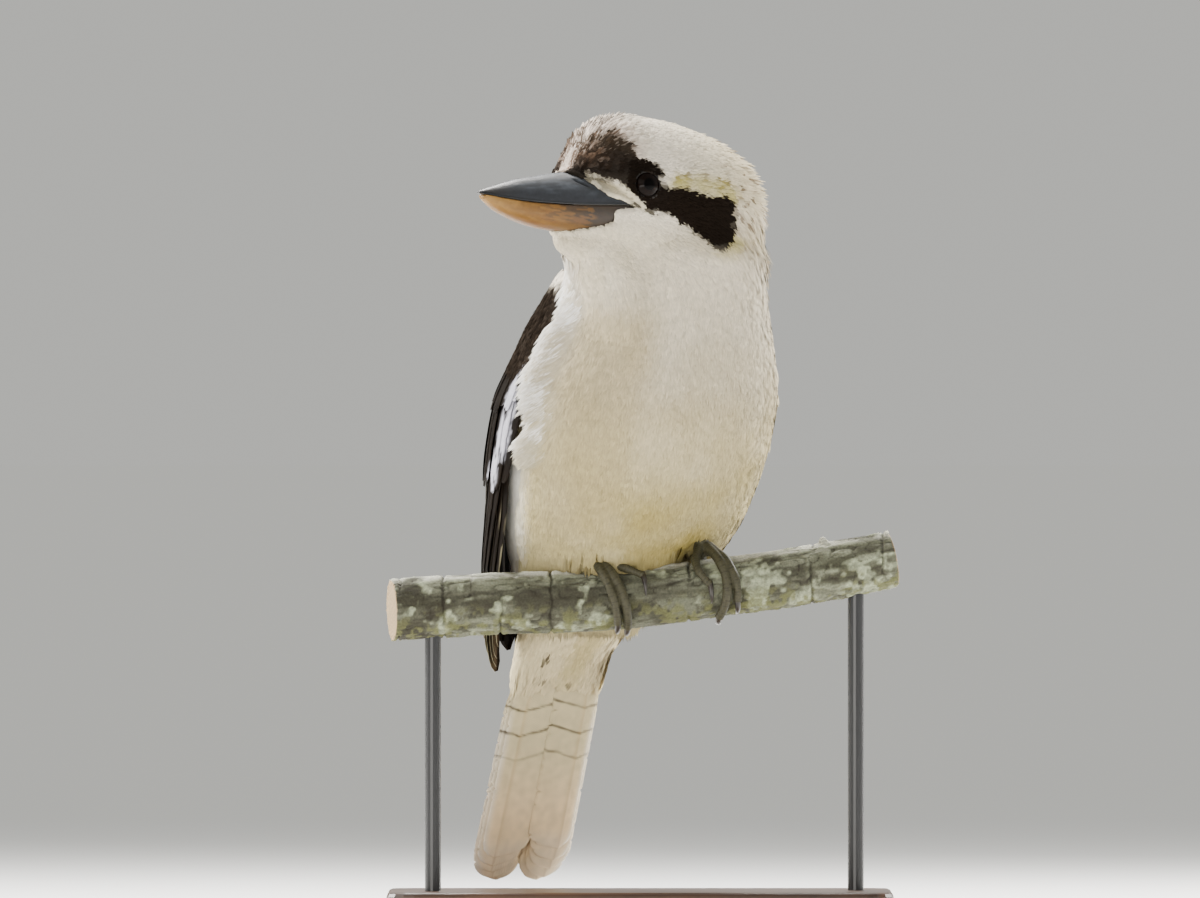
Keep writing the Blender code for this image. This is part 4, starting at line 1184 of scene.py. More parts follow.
# Rows of wing feathers as the solids have them, with more feathers: how many, root height, root angles, tips
# as (height, angle) from the leading edge to the trailing one, half width, heights off the sheath, and the
# lift when raised
WING_ROWS = {
    "primary": (
        7, 0.205, (98, 126), ((0.1262, 104), (0.1185, 112), (0.115, 121), (0.1222, 131), (0.134, 140)),
        0.0068, (0.0006, 0.0012), 0.023,
    ),
    "secondary": (
        9, 0.224, (99, 148), ((0.156, 114), (0.149, 126), (0.142, 137), (0.133, 147), (0.124, 157)),
        0.0066, (0.0018, 0.0025), 0.02,
    ),
    "tertial": (
        4, 0.233, (140, 162), ((0.156, 147), (0.162, 155), (0.172, 164)),
        0.0088, (0.0032, 0.004), 0.008,
    ),
    "greater": (
        10, 0.243, (93, 150), ((0.196, 94), (0.195, 107), (0.199, 123), (0.204, 137), (0.209, 152)),
        0.0064, (0.0026, 0.0046), 0.003,
    ),
    "median": (
        12, 0.256, (95, 146), ((0.231, 96), (0.23, 111), (0.232, 127), (0.235, 147)),
        0.0052, (0.0036, 0.0048), 0.002,
    ),
}


def turned(angle, turn):
    return angle + turn * min(max((TURN_ENDS - angle) / TURN_SPREAD, 0.0), 1.0)


def wing_feather(side, root, tip, half_width, height, kind, chance):
    def place(share):
        return root[0] + (tip[0] - root[0]) * share, root[1] + (tip[1] - root[1]) * share

    def line(share):
        return sheath_point(side, *place(share), height + 0.0006 * (share - 0.5))

    def ahead(share):
        return unit(line(min(share + 0.04, 1.0)) - line(max(share - 0.04, 0.0)))

    def across(share):
        z, angle = place(share)
        backward = sheath_point(side, z, angle + 0.5, height) - sheath_point(side, z, angle, height)
        outward = sheath_point(side, z, angle, height + 0.001) - sheath_point(side, z, angle, height)
        flat = unit(backward - ahead(share) * (backward @ ahead(share)))
        tuck = 0.1 + (0.55 * share**3 if root[0] < 0.21 else 0.0)
        return unit(flat - unit(outward) * tuck)

    def face(share):
        return unit(np.cross(across(share), ahead(share))) * -side

    sheet = vane_sheet(line, across, face, (half_width, half_width), kind, chance)
    return sheet, float(np.linalg.norm(line(1.0) - line(0.0)))


# The pale mottled band down the coverts: height, sheath angle of its middle, half width in degrees
MOTTLED_BAND = (
    (0.243, 97.0, 2.0), (0.24, 97.5, 3.0), (0.232, 97.0, 4.5), (0.2204, 98.0, 5.0),
    (0.213, 99.0, 5.0), (0.2075, 100.5, 6.0), (0.2009, 104.0, 6.0), (0.193, 106.5, 4.0),
)


def wing_paint(kind, sheet, turn, chance):
    """Colours of one wing feather: dark brown, paler at the edge, the coverts blotched with pale blue. The
    blotches are drawn coarser than life and strewn by noise."""
    points, _, along, aside, face_up = sheet
    z = points[:, 2]
    edge = smooth(0.8, 1.0, np.abs(aside))
    lumps, fine = cloud(points, 0.006, 31), cloud(points, 0.0022, 33)
    colours = layered(
        WING_BROWN * chance.uniform(0.75, 1.2),
        (WING_EDGE, 0.3 * edge * smooth(0.2, 0.6, fine)),
        (WING_EDGE, 0.22 * lumps),
    )
    if kind in ("greater", "median"):
        heights, middles, halves = zip(*sorted(MOTTLED_BAND))
        angle = body_place(points)[0]
        angle = angle - turn * np.clip((TURN_ENDS - angle) / TURN_SPREAD, 0, 1)
        off = np.abs(angle - np.interp(z, heights, middles)) / np.interp(z, heights, halves)
        blotches = cloud(points * np.array((1, 1, 0.4)), 0.0024, 34)
        band = smooth(1.25, 0.75, off + 0.5 * (fine - 0.5)) * smooth(0.36, 0.5, blotches)
        centre, start = chance.uniform(-0.75, 0.1), chance.uniform(0.45, 0.8)
        bold = chance.choice((0.0, 0.7, 0.95), p=(0.4, 0.3, 0.3))
        off_centre = np.abs(aside - centre) + 0.5 * (fine - 0.5)
        spot = smooth(start, start + 0.12, along + 0.25 * (lumps - 0.5))
        spot = spot * smooth(0.8, 0.3, off_centre) * smooth(1.01, 0.95, along)
        spots = bold * spot * smooth(118, 128, angle) * smooth(0.3, 0.48, blotches)
        colours = layered(colours, (SPOT_BLUE, 0.95 * band), (SPOT_BLUE, spots))
    if kind == "primary":
        rim = smooth(-0.8, -0.97, aside) * smooth(0.15, 0.3, along)
        near_tip = smooth(0.146, 0.134, z)
        pale = rim * np.maximum(0.4 * smooth(0.4, 0.65, lumps), 0.6 * near_tip)
        # Light shows through the ends of the longest feathers
        thin = 0.55 * near_tip * smooth(0.9, 0.2, np.abs(aside))
        colours = layered(colours, (CREAM, pale), (SPECK_BROWN, thin))
    if kind in ("primary", "secondary"):
        window = smooth(0.35, 0.7, -aside) * smooth(0.05, 0.25, along) * smooth(0.55, 0.4, along)
        colours = mixed(colours, WHITE, 0.25 * window * (1 - face_up))
    return colours


def wing_core(side, turn):
    """The wing's arm and hand under its small coverts, as rings down from the shoulder."""
    rings = []
    for share in np.linspace(0, 1, 22):
        z = 0.29 + (0.19 - 0.29) * share
        lead = turned(76 + 12 * share, turn)
        trail = 128 + 34 * float(smooth(0.0, 0.35, share)) - 20 * float(smooth(0.7, 1.0, share))
        swell = float(smooth(-0.25, 0.3, share))
        thick = 0.0048 * swell * (1 - 0.9 * float(smooth(0.2, 0.85, share)))
        ring = []
        for t in np.linspace(0, 1, 19):
            height = 0.0002 + thick * (1 - abs(2 * t - 1) ** 3.0) ** 0.6
            ring.append(sheath_point(side, z, lead + (trail - lead) * t, height))
        rings.append(ring)
    return np.array(rings)


def arm_sheet(side, turn):
    """The surface of the wing's arm: points, the ways out there, and triangles."""
    rings = wing_core(side, turn)
    rows, columns = rings.shape[:2]
    points = rings.reshape(-1, 3)
    triangles = []
    for i in range(rows - 1):
        for j in range(columns - 1):
            a = i * columns + j
            b, c, d = a + 1, a + columns + 1, a + columns
            triangles += [(a, b, c), (a, c, d)] if side < 0 else [(a, c, b), (a, d, c)]
    triangles = np.array(triangles)
    sheet = mesh_piece("arm", points, triangles)
    normals = normals_of(sheet.data)
    bpy.data.objects.remove(sheet)
    outward = points - np.array([axis_at(p[2]) for p in points])
    return points, normals * np.sign(np.sum(normals * outward, axis=1, keepdims=True)), triangles


def covert_tufts(side, turn, spacing, chance):
    """Small dark coverts strewn over the wing's arm."""
    points, normals, triangles = arm_sheet(side, turn)
    places, ways = scatter(points, normals, triangles, spacing, chance)
    z = places[:, 2]
    flows = laid(-UP - FORWARD * 0.34, ways)
    lengths = chance.uniform(0.0075, 0.01, len(places)) - 0.0025 * smooth(0.262, 0.285, z)
    depths = np.full(len(places), 0.001)
    stands = chance.uniform(0.0001, 0.0006, len(places)) + 0.0012 * smooth(0.262, 0.25, z)
    tree = tree_with_coat(points, triangles)
    spots = settle(places, ways, flows, lengths, depths, stands, tree, chance)
    fine = cloud(places, 0.003, 52)
    angle, _, _ = body_place(places)
    keep = z > 0.244 + 0.004 * chance.random(len(places))
    # White again along the leading edge and under the nape
    edge = turned(86, turn)
    pale = smooth(edge + 3, edge - 3, angle + 5 * (fine - 0.5))
    pale = np.maximum(pale, smooth(0.283, 0.289, z + 0.004 * (fine - 0.5)) * smooth(132, 112, angle))
    # Paler grey near the leading edge, where light falls on the arm, is painted light
    painted_light = smooth(101, 92, angle - turn) * smooth(0.45, 0.75, cloud(places, 0.006, 53))
    dark = layered(
        MANTLE_BROWN * 0.45,
        (COVERT_GREY * 0.4, 0.3 + 0.25 * smooth(0.5, 0.85, fine)),
        (COVERT_GREY, 0.35 * painted_light),
    )
    colours = mixed(dark, WHITE, pale)
    tip_colours = layered(dark, (WING_EDGE, 0.15), (WHITE, pale))
    edge_colours = mixed(tip_colours, WING_EDGE, 0.25 * (1 - pale))
    unwrapped = bake_places(angle / 180, z, 0.18, 0.3)
    return take(tuft_rows(spots, ways, lengths * 0.55, colours, tip_colours, edge_colours, unwrapped), keep)


# Where the breast's white fringe ends on the wing: height and sheath angle
FRINGE_EDGE = (
    (0.29, 91.0), (0.2804, 90.0), (0.2722, 88.0), (0.2635, 85.5), (0.2578, 90.0), (0.2448, 90.5),
    (0.2339, 88.0), (0.2278, 85.5), (0.2183, 83.5), (0.2135, 85.0), (0.205, 84.0),
)
FRINGE_COUNT = 3000


def fringe_tufts(side, turn, chance):
    """White feathers of the breast that lie over the wing's leading edge with ragged ends."""
    points, _, triangles = arm_sheet(side, turn)
    tree = tree_with_coat(points, triangles)

    def on_top(z, angle, lift):
        """A place on whichever lies outermost there, breast or wing."""
        start = sheath_point(side, z, angle, 0.02)
        inwards = unit(axis_at(z) - start)
        hit = tree.ray_cast(start, inwards, 0.045)[0]
        spot = sheath_point(side, z, angle, 0) if hit is None else np.array(hit)
        over_vanes = float(smooth(turned(80, turn), turned(87, turn), angle))
        over_vanes *= 0.0022 + 0.0024 * float(smooth(0.255, 0.235, z))
        return spot - inwards * (lift + over_vanes)

    spots, outs, lengths, places, inner = [], [], [], [], []
    heights, angles = zip(*sorted(FRINGE_EDGE))
    for _ in range(FRINGE_COUNT):
        z = 0.202 + 0.094 * chance.random() ** 0.9
        inward = chance.random() * (2.0 + 5.5 * float(smooth(0.205, 0.232, z)))
        angle = turned(float(np.interp(z, heights, angles)), turn) + chance.normal(0, 1.7) - inward
        length = chance.uniform(0.0085, 0.013)
        lean = 6.5 * chance.uniform(0.7, 1.2)
        root = on_top(z + length * 0.75, angle - lean, -0.001)
        middle = on_top(z + length * 0.4, angle - lean * 0.45, 0.0005)
        tip = on_top(z, angle, chance.uniform(0.0001, 0.0007))
        spots.append((root, middle, tip))
        outs.append(unit(middle - axis_at(z)))
        lengths.append(length)
        places.append((angle / 180, z))
        inner.append(inward)
    roots, bends, tips = (np.array(rows) for rows in zip(*spots))
    outs = laid(np.array(outs), unit(tips - roots))
    places = np.array(places)
    under = body_colours(tips)
    # The fringe thins out at its lower end
    inner = np.array(inner) + 4.5 * smooth(0.226, 0.204, tips[:, 2])
    ragged = 5 * (cloud(tips, 0.005, 57) - 0.5)
    colours = mixed(under, SNOW_WHITE, 0.25 * smooth(3, 0, inner + ragged))
    tip_colours = mixed(under, SNOW_WHITE, smooth(5.2, 1.0, inner + ragged))
    widths = np.array(lengths) * (0.2 + 0.14 * smooth(0.5, 2.5, inner))
    unwrapped = bake_places(places[:, 0], places[:, 1], 0.15, 0.31)
    return tuft_rows((roots, bends, tips), outs, widths, colours, tip_colours, tip_colours, unwrapped)


def spread_along(stops, share):
    """A place on a list of evenly spaced stops."""
    table = np.array(stops)
    at = share * (len(table) - 1)
    return [float(np.interp(at, np.arange(len(table)), table[:, k])) for k in range(table.shape[1])]


class KOOKABURRA_OT_wings(bpy.types.Operator):
    """Make the folded wings: flight feathers, tiers of coverts and the small coverts on the arm"""

    bl_idname = "kookaburra.wings"
    bl_label = "Wings"

    def execute(self, context):
        settings = context.scene.kookaburra
        vanes = keratin_vane("dark_wing_keratin", settings.barb_pitch, 0.0)
        small = down_feather("dark_covert_barbs", 0.7, 0.0, 0.8, 1.2)
        white = down_feather("fringe_barbs", 0.78, 0.45)
        for name, side, turn, raised in (("left", 1, LEFT_WING_TURN, 1), ("right", -1, 0, 0)):
            chance = np.random.default_rng(60 + side)
            feathers = []
            for kind, (count, root_z, root_angles, tips, half_width, heights, lift) in WING_ROWS.items():
                loose = 0.0006 if kind in ("primary", "secondary") else 0.0022
                form = "flight" if kind in ("primary", "secondary", "tertial") else "covert"
                for i in range(count):
                    share = i / (count - 1)
                    tip_z, tip_angle = spread_along(tips, share)
                    root = (root_z, turned(root_angles[0] + (root_angles[1] - root_angles[0]) * share, turn))
                    tip_z += raised * lift + chance.uniform(-loose, loose)
                    height = heights[0] + (heights[1] - heights[0]) * share + 0.00022 * (i % 2)
                    tip = (tip_z, turned(tip_angle + chance.uniform(-1, 1) * loose * 700, turn))
                    sheet, length = wing_feather(side, root, tip, half_width, height, form, chance)
                    feathers.append((sheet, length, half_width, wing_paint(kind, sheet, turn, chance)))
            made = vane_piece(f"wing_vanes_{name}", feathers)
            dress(made, f"wing_vanes_{name}", vanes, (f"wing_{name}",))
            tufts = covert_tufts(side, turn, tuft_spacing(settings), chance)
            made = tuft_piece(f"coat_arm_{name}", tufts, 5, chance)
            dress(made, f"coat_arm_{name}", small, soft=False)
            made = tuft_piece(f"coat_fringe_{name}", fringe_tufts(side, turn, chance), 5, chance)
            dress(made, f"coat_fringe_{name}", white, soft=False)
        return {"FINISHED"}


# The tail
# Tail feathers from the middle pair out: shaft's place at root and tip, inner and outer width, shortfall
TAIL_FEATHERS = tenths(
    (20, 75, 95, 105, 30), (50, 105, 105, 105, 0), (85, 135, 115, 105, 10), (80, 152, 125, 102, 40),
    (92, 158, 140, 88, 70), (100, 162, 170, 68, 110),
)
TAIL_ROOT_Z = 0.132
TAIL_TIP_Z = 0.024
TAIL_DROP = 0.36
TAIL_LAYER = 0.00085
TAIL_SWING = -0.0035
TAIL_DOWN = unit(FORWARD * -TAIL_DROP - UP)
TAIL_FRONT = unit(np.cross(TAIL_DOWN, LEFTWARD))
if TAIL_FRONT @ FORWARD < 0:
    TAIL_FRONT = -TAIL_FRONT


def tail_line(z):
    return -0.0555 + (z - 0.131) * TAIL_DROP


def tail_feather(side, rank, row, chance):
    root_side, tip_side, inner, outer, shorter = row
    tip_z = TAIL_TIP_Z + shorter * (1.35 if side > 0 else 1.0)
    layer = rank * TAIL_LAYER + (0.0004 if side > 0 else 0.0)
    sideways = unit(LEFTWARD - TAIL_FRONT * (0.05 * side))
    out = unit(np.cross(sideways, TAIL_DOWN))
    out = out if out @ TAIL_FRONT > 0 else -out

    def line(share):
        z = TAIL_ROOT_Z + (tip_z - TAIL_ROOT_Z) * share
        opened = float(smooth(0, 0.35, share)) * 0.8 + 0.2 * share
        aside = side * (root_side + (tip_side - root_side) * opened)
        aside = TAIL_SWING * float(smooth(0, 0.3, share)) + aside
        return in_body(tail_line(z), aside, z) + TAIL_FRONT * layer

    widths = (inner, outer) if side > 0 else (outer, inner)
    sheet = vane_sheet(line, lambda _: sideways, lambda _: out, widths, "tail", chance, rows=150, columns=17)
    return sheet, (TAIL_ROOT_Z - tip_z) / -TAIL_DOWN[2]


# The bars cross the shafts at this height, and at every spacing above and below it
BAR_HEIGHT = 0.0982
BAR_SPACING = 0.0109


def tail_paint(sheet, row, rank, side, chance):
    """Colours of a tail feather: cream below and rufous above, thin dark bars, and a white end."""
    points, _, along, aside, face_up = sheet
    height = points[:, 2]
    inner, outer = row[2:4]
    length = (TAIL_ROOT_Z - TAIL_TIP_Z) / -TAIL_DOWN[2]
    off_shaft = np.abs(aside) * np.where(aside * side > 0, outer, inner)
    lumps = cloud(points, 0.004, 71)
    # The bars bend down at the shaft
    z = height - 0.24 * off_shaft + 0.0009 * (lumps - 0.5) + chance.uniform(-0.0006, 0.0006)
    bar_at = (z - BAR_HEIGHT) / BAR_SPACING
    near = np.abs(bar_at - np.round(bar_at)) * BAR_SPACING
    from_tip = (1 - along) * length
    # The outer edges low on the tail are painted white, as painted rim light
    edge = smooth(0.55, 1.0, aside * side) * smooth(0.108, 0.085, height)
    strong = smooth(0.066, 0.086, height)
    thin = smooth(0.00075, 0.0003, near) * strong * (0.65 + 0.35 * smooth(0.3, 0.6, lumps))
    below = layered(
        mixed(TAIL_CREAM, OLIVE_STAIN_AND_REFLECTION, 0.42),
        (mixed(TAIL_CREAM, TAIL_BUFF, 0.5), smooth(0.086, 0.05, height)),
        (WHITE, 0.75 * edge + 0.35 * smooth(0.012, 0.003, from_tip)),
        (BAR_BROWN, 0.8 * thin),
    )
    above = layered(
        RUFOUS,
        (WHITE, smooth(0.012, 0.008, from_tip)),
        (BAR_BROWN, smooth(0.0032, 0.0022, near) * (from_tip > 0.013)),
        (WHITE, (0.7 if rank >= 4 else 0.0) * smooth(0.003, 0.0038, near)),
    )
    shaft = smooth(0.07, 0.02, np.abs(aside))
    colours = np.where(face_up[:, None] > 0.5, below, above)
    return mixed(colours, mixed(TAIL_BUFF, SPECK_BROWN, 0.5), 0.38 * shaft * face_up)


# How far right the vent's feathers reach, as (height, x)
VENT_RIGHT_EDGE = tenths(
    (1040, -187), (1096, -168), (1256, -112), (1380, 30),
)
# Dark marks on the vent: place to the left, height, half width and half height
VENT_MARKS = tenths(
    (-210, 1165, 20, 16), (-185, 1080, 42, 9), (-5, 1065, 9, 11),
)


def tail_covert_tufts(chance, spacing):
    """The feathers of the vent and rump that taper down over the tail's root."""
    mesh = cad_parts["tail"].data
    work = bmesh.new()
    work.from_mesh(mesh)
    bmesh.ops.remove_doubles(work, verts=work.verts, dist=1e-6)
    bmesh.ops.triangulate(work, faces=work.faces)
    whole = bpy.data.meshes.new("rump")
    work.to_mesh(whole)
    work.free()
    points, normals, triangles = points_of(whole), normals_of(whole), triangles_of(whole)
    tree = tree_of(points, triangles)
    places, ways = scatter(points, normals, triangles, spacing, chance)
    keep = (places[:, 2] > 0.112 + 0.003 * chance.random(len(places))) & (places[:, 2] < 0.138)
    places, ways = places[keep], ways[keep]
    lengths = chance.uniform(0.0085, 0.0125, len(places))
    stands = chance.uniform(0.0001, 0.0006, len(places))
    depths = np.full(len(places), 0.0008)
    spots = settle(places, ways, laid(TAIL_DOWN, ways), lengths, depths, stands, tree, chance)
    forward = ways @ TAIL_FRONT
    tips = spots[2]
    lumps = cloud(places, 0.008, 81)
    sideways = leftward(places)
    stain = smooth(0.012, 0.003, np.abs(sideways + 0.003)) * smooth(0.105, 0.125, places[:, 2])
    vent = mixed(TAIL_CREAM, OLIVE_STAIN_AND_REFLECTION, 0.4 + 0.25 * stain)
    marked = vent
    for aside, height, wide, tall in VENT_MARKS:
        mark = np.exp(-(((sideways - aside) / wide) ** 4) - ((tips[:, 2] - height) / tall) ** 4)
        marked = mixed(marked, BAR_BROWN, 0.85 * mark)
    rump = mixed(MANTLE_BROWN, RUFOUS, 0.35 + 0.4 * lumps)
    to_back = smooth(-0.62, -0.82, forward)
    colours, tip_colours = mixed(vent, rump, to_back), mixed(marked, rump, to_back)
    halves = (ways @ LEFTWARD + 1) / 2 * 0.5 + 0.5 * (forward > -0.62)
    unwrapped = bake_places(halves, places[:, 2], 0.09, 0.14)
    widest = np.interp(tips[:, 2], *zip(*VENT_RIGHT_EDGE))
    slim = tips[:, 0] < widest - 0.006 * (forward < 0.3) * (ways[:, 0] > 0)
    return take(tuft_rows(spots, ways, lengths * 0.5, colours, tip_colours, tip_colours, unwrapped), slim)


class KOOKABURRA_OT_tail(bpy.types.Operator):
    """Make the barred tail and the coverts over its root"""

    bl_idname = "kookaburra.tail"
    bl_label = "Tail"

    def execute(self, context):
        settings = context.scene.kookaburra
        chance = np.random.default_rng(70)
        feathers = []
        for rank, row in enumerate(TAIL_FEATHERS):
            for side in (-1, 1):
                sheet, length = tail_feather(side, rank, row, chance)
                paint = tail_paint(sheet, row, rank, side, chance)
                feathers.append((sheet, length, (row[2] + row[3]) / 2, paint))
        vanes = keratin_vane("pale_tail_keratin", settings.barb_pitch, 0.05)
        dress(vane_piece("tail_vanes", feathers), "tail_vanes", vanes, ("tail",))
        tufts = tail_covert_tufts(chance, tuft_spacing(settings))
        made = tuft_piece("coat_vent", tufts, 5, chance)
        dress(made, "coat_vent", down_feather("vent_barbs", 0.78, 0.06), soft=False)
        return {"FINISHED"}


# The bill
def bill_point(back, turn, upper):
    """A place on half a bill: turn is 0 at the mouth's left edge, half pi at ridge or keel, pi at the right."""
    half_width, ridge, keel, mouth = between(BILL_SECTIONS, back)
    edge = mouth + (BILL_GAP / 2 if upper else -BILL_GAP / 2)
    rim = (ridge - edge) if upper else (keel - edge)
    power = 1.75 if upper else 2.4
    if not upper:
        half_width -= 0.0004 * min(1.0, back / 0.01)
    across = signed_power(math.cos(turn), 2 / power) * half_width
    return in_head(back, across, edge + abs(math.sin(turn)) ** (2 / power) * rim)


def bill_half(name, upper):
    start = 0.0 if upper else LOWER_BILL_START
    end = BILL_SECTIONS[-1][0] if upper else LOWER_BILL_END
    rows, around, under = 170, 81, 9
    points = []
    for share in np.linspace(0, 1, rows) ** 1.25:
        back = start + (end - start) * share
        ring = [bill_point(back, math.pi * j / (around - 1), upper) for j in range(around)]
        left, right = ring[-1], ring[0]
        ring += [left + (right - left) * (k + 1) / (under + 1) for k in range(under)]
        points += ring
    count = around + under
    triangles = []
    for i in range(rows - 1):
        for j in range(count):
            k = (j + 1) % count
            a, b = i * count + j, i * count + k
            triangles += [(a, b, b + count), (a, b + count, a + count)]
    for first in (0, (rows - 1) * count):
        points.append(np.mean(points[first : first + count], axis=0))
        for j in range(count):
            triangles.append((first + j, first + (j + 1) % count, len(points) - 1))
    made = mesh_piece(name, np.array(points), np.array(triangles))
    work = bmesh.new()
    work.from_mesh(made.data)
    bmesh.ops.recalc_face_normals(work, faces=work.faces)
    if work.calc_volume(signed=True) < 0:
        bmesh.ops.reverse_faces(work, faces=work.faces)
    work.to_mesh(made.data)
    work.free()
    return made


def nostril(points):
    """1 in the slit of a nostril, which runs back under the feathers' edge."""
    back, left, up = head_place(points)
    along = back - 0.0545 - 0.25 * (up - 0.008)
    over = up - 0.008 + 0.42 * (back - 0.0545)
    return np.exp(-((along / 0.0036) ** 4) - (over / 0.00055) ** 2) * (np.abs(left) > 0.003)


def upper_bill_relief(points):
    """How far the upper bill's surface stands out: worn streaks and the nostril slit with its raised lip."""
    back, left, up = head_place(points)
    streaks = drawn_out(back, np.abs(left), up, 0.16, 0.0011, 91) - 0.5
    relief = 0.00008 * streaks * smooth(0.004, 0.02, back)
    lip = nostril(points + HEAD_UP * -0.0011)
    return relief - 0.0009 * nostril(points) + 0.00025 * lip


def upper_bill_colours(points):
    """Slate horn, with a painted highlight and worn streaks on the upper rear, a dark mouth edge and nostril.
    """
    back, left, up = head_place(points)
    streaks = drawn_out(back, np.abs(left), up, 0.14, 0.0013, 92)
    # The upper rear is painted paler as a highlight, and streaked there like worn horn
    middle = smooth(0.0, 0.006, up) * smooth(0.01, 0.024, back)
    return layered(
        SLATE,
        (SLATE_PALE, (0.2 + 0.55 * smooth(0.42, 0.8, streaks)) * middle),
        (HORN_DARK, 0.5 * smooth(0.02, 0.004, back)),
        (SLATE * 0.35, smooth(0.0016, 0.0004, up - bill_at(back, 4))),
        (SLATE * 0.15, smooth(0.3, 0.8, nostril(points))),
    )


def lower_bill_colours(points, streaks):
    """Tan horn, palest at the tip, rusty and streaked towards the mouth's edge and dark at the root."""
    back, left, up = head_place(points)
    wide = np.abs(left)
    below = bill_at(back, 4) - up
    pale = np.clip(0.22 * smooth(0.5, 0.75, streaks) + 0.8 * smooth(0.03, 0.006, back + 1.5 * below), 0, 1)
    rust = smooth(0.35, 0.65, drawn_out(back, wide, up, 0.3, 0.004, 94))
    worn = smooth(0.47, 0.62, drawn_out(back, wide, up, 0.05, 0.0007, 95))
    edge = back + 0.8 * (streaks - 0.5) * 0.004 + 0.004 * worn
    return layered(
        HORN_TAN,
        (HORN_PALE, pale),
        (HORN_RUST, 0.65 * rust * smooth(0.018, 0.03, back) * smooth(0.002, 0.005, below)),
        (HORN_DARK, 0.75 * worn * smooth(0.022, 0.046, back) * smooth(0.0105, 0.004, below)),
        (HORN_DARK, 0.4 * smooth(0.03, 0.058, back)),
        (HORN_DARK, 0.92 * smooth(0.056, 0.0615, edge)),
        (HORN_DARK, 0.8 * smooth(0.0009, 0.0003, below) * smooth(0.012, 0.03, back)),
    )


class KOOKABURRA_OT_bill(bpy.types.Operator):
    """Make both halves of the bill"""

    bl_idname = "kookaburra.bill"
    bl_label = "Bill"

    def execute(self, context):
        upper = bill_half("bill_upper_horn", True)
        points, normals = points_of(upper.data), normals_of(upper.data)
        move_points(upper.data, points + normals * upper_bill_relief(points)[:, None])
        paint_points(upper, upper_bill_colours(points))
        gloss = {"specular_ior_level": 0.4}
        horn = painted_material("slate_horn", 0.32, 1.54, 0.0016, 0.85, 1.15, 0.00004, 0.46, **gloss)
        dress(upper, "bill_upper_horn", horn, ("bill_upper",))
        lower = bill_half("bill_lower_horn", False)
        points, normals = points_of(lower.data), normals_of(lower.data)
        back, left, up = head_place(points)
        streaks = drawn_out(back, np.abs(left), up, 0.12, 0.0011, 93)
        move_points(lower.data, points + normals * (0.00008 * (streaks - 0.5))[:, None])
        paint_points(lower, lower_bill_colours(points, streaks))
        gloss = {"specular_ior_level": 0.3}
        horn = painted_material("tan_horn", 0.42, 1.54, 0.0018, 0.88, 1.1, 0.00004, 0.55, **gloss)
        dress(lower, "bill_lower_horn", horn, ("bill_lower",))
        return {"FINISHED"}


# The eyes
PUPIL_BLACK = linear("#030202")
IRIS_BROWN = linear("#130b07")


def aim(mesh, centre, way):
    """Turns a mesh that faces up to face along way, and moves it to its centre."""
    turn = Vector((0, 0, 1)).rotation_difference(Vector(way)).to_matrix().to_4x4()
    mesh.transform(turn)
    mesh.transform(turn.Translation(Vector(centre)))


class KOOKABURRA_OT_eyes(bpy.types.Operator):
    """Make the eyes with their clear bulge, and the dark lids round them"""

    bl_idname = "kookaburra.eyes"
    bl_label = "Eyes"

    def execute(self, context):
        wet, tree, shader = new_material("wet_dark_iris", 0.06, 1.34, specular_ior_level=0.14)
        tinted, _ = varied(tree, painted_colour(tree), 0.0007, 0.75, 1.2)
        set_surface(tree, shader, tinted)
        lid_skin = painted_material("lid_skin", 0.55, 1.4, 0.0005, 0.8, 1.15, 0.00004)
        for name, (centre, way) in EYES.items():
            deselect()
            bpy.ops.mesh.primitive_uv_sphere_add(segments=48, ring_count=32, radius=EYE_RADIUS)
            eye = bpy.context.active_object
            aim(eye.data, centre, way)
            points = points_of(eye.data)
            away = points - centre
            depth = away @ way
            off = np.linalg.norm(away - depth[:, None] * way, axis=1)
            bulge = 0.0007 * smooth(0.0052, 0.0, off) * (depth > 0)
            move_points(eye.data, points + way * bulge[:, None])
            iris = smooth(0.0028, 0.0031, off) * smooth(0.0056, 0.0048, off)
            paint_points(eye, mixed(PUPIL_BLACK, IRIS_BROWN, iris))
            dress(eye, f"eyeball_{name}", wet, (f"eye_{name}",))
            deselect()
            bpy.ops.mesh.primitive_torus_add(
                major_radius=EYE_SHOWN_RADIUS + 0.00035,
                minor_radius=0.00075,
                major_segments=64,
                minor_segments=14,
            )
            lid = bpy.context.active_object
            points = points_of(lid.data)
            ring_at = np.arctan2(points[:, 1], points[:, 0])
            points[:, 1] *= 0.95
            points[:, 2] += 0.00012 * np.cos(ring_at * 23)
            move_points(lid.data, points)
            depth = math.sqrt(EYE_RADIUS**2 - EYE_SHOWN_RADIUS**2) - 0.0001
            aim(lid.data, centre + way * depth, way)
            paint_points(lid, np.tile(MASK_BROWN, (len(points), 1)))
            dress(lid, f"lids_{name}", lid_skin)
        return {"FINISHED"}


# The perch
PERCH_STATIONS = tenths(
    (-1080, 1420, 138), (-696, 1448, 135), (-348, 1458, 136), (43, 1483, 134), (383, 1525, 128),
    (696, 1567, 129), (913, 1607, 128), (1130, 1650, 122),
)
PERCH_YAW_SLOPE = 0.176
# The bark's cross cracks, as pixels across the photograph
CRACK_PIXELS = (399, 444, 502, 552, 690, 812, 883)


def perch_middle(x):
    z, radius = between(PERCH_STATIONS, x)
    return np.array((x, -0.0104 + PERCH_YAW_SLOPE * (x - 0.0078), z)), radius


def perch_frame(x):
    along = unit(perch_middle(x + 0.002)[0] - perch_middle(x - 0.002)[0])
    up = unit(UP - along * along[2])
    return along, up, -np.cross(up, along)


def perch_places(points):
    """The angle round the perch, 0 at the front and 90 on top, and the distance from its middle line."""
    xs = np.linspace(-0.12, 0.12, 49)
    middles = np.array([perch_middle(x)[0] for x in xs])
    middle = np.stack([np.interp(points[:, 0], xs, middles[:, k]) for k in range(3)], axis=1)
    away = points - middle
    _, up, front = perch_frame(0.0)
    return np.arctan2(away @ up, away @ front), np.linalg.norm(away, axis=1)


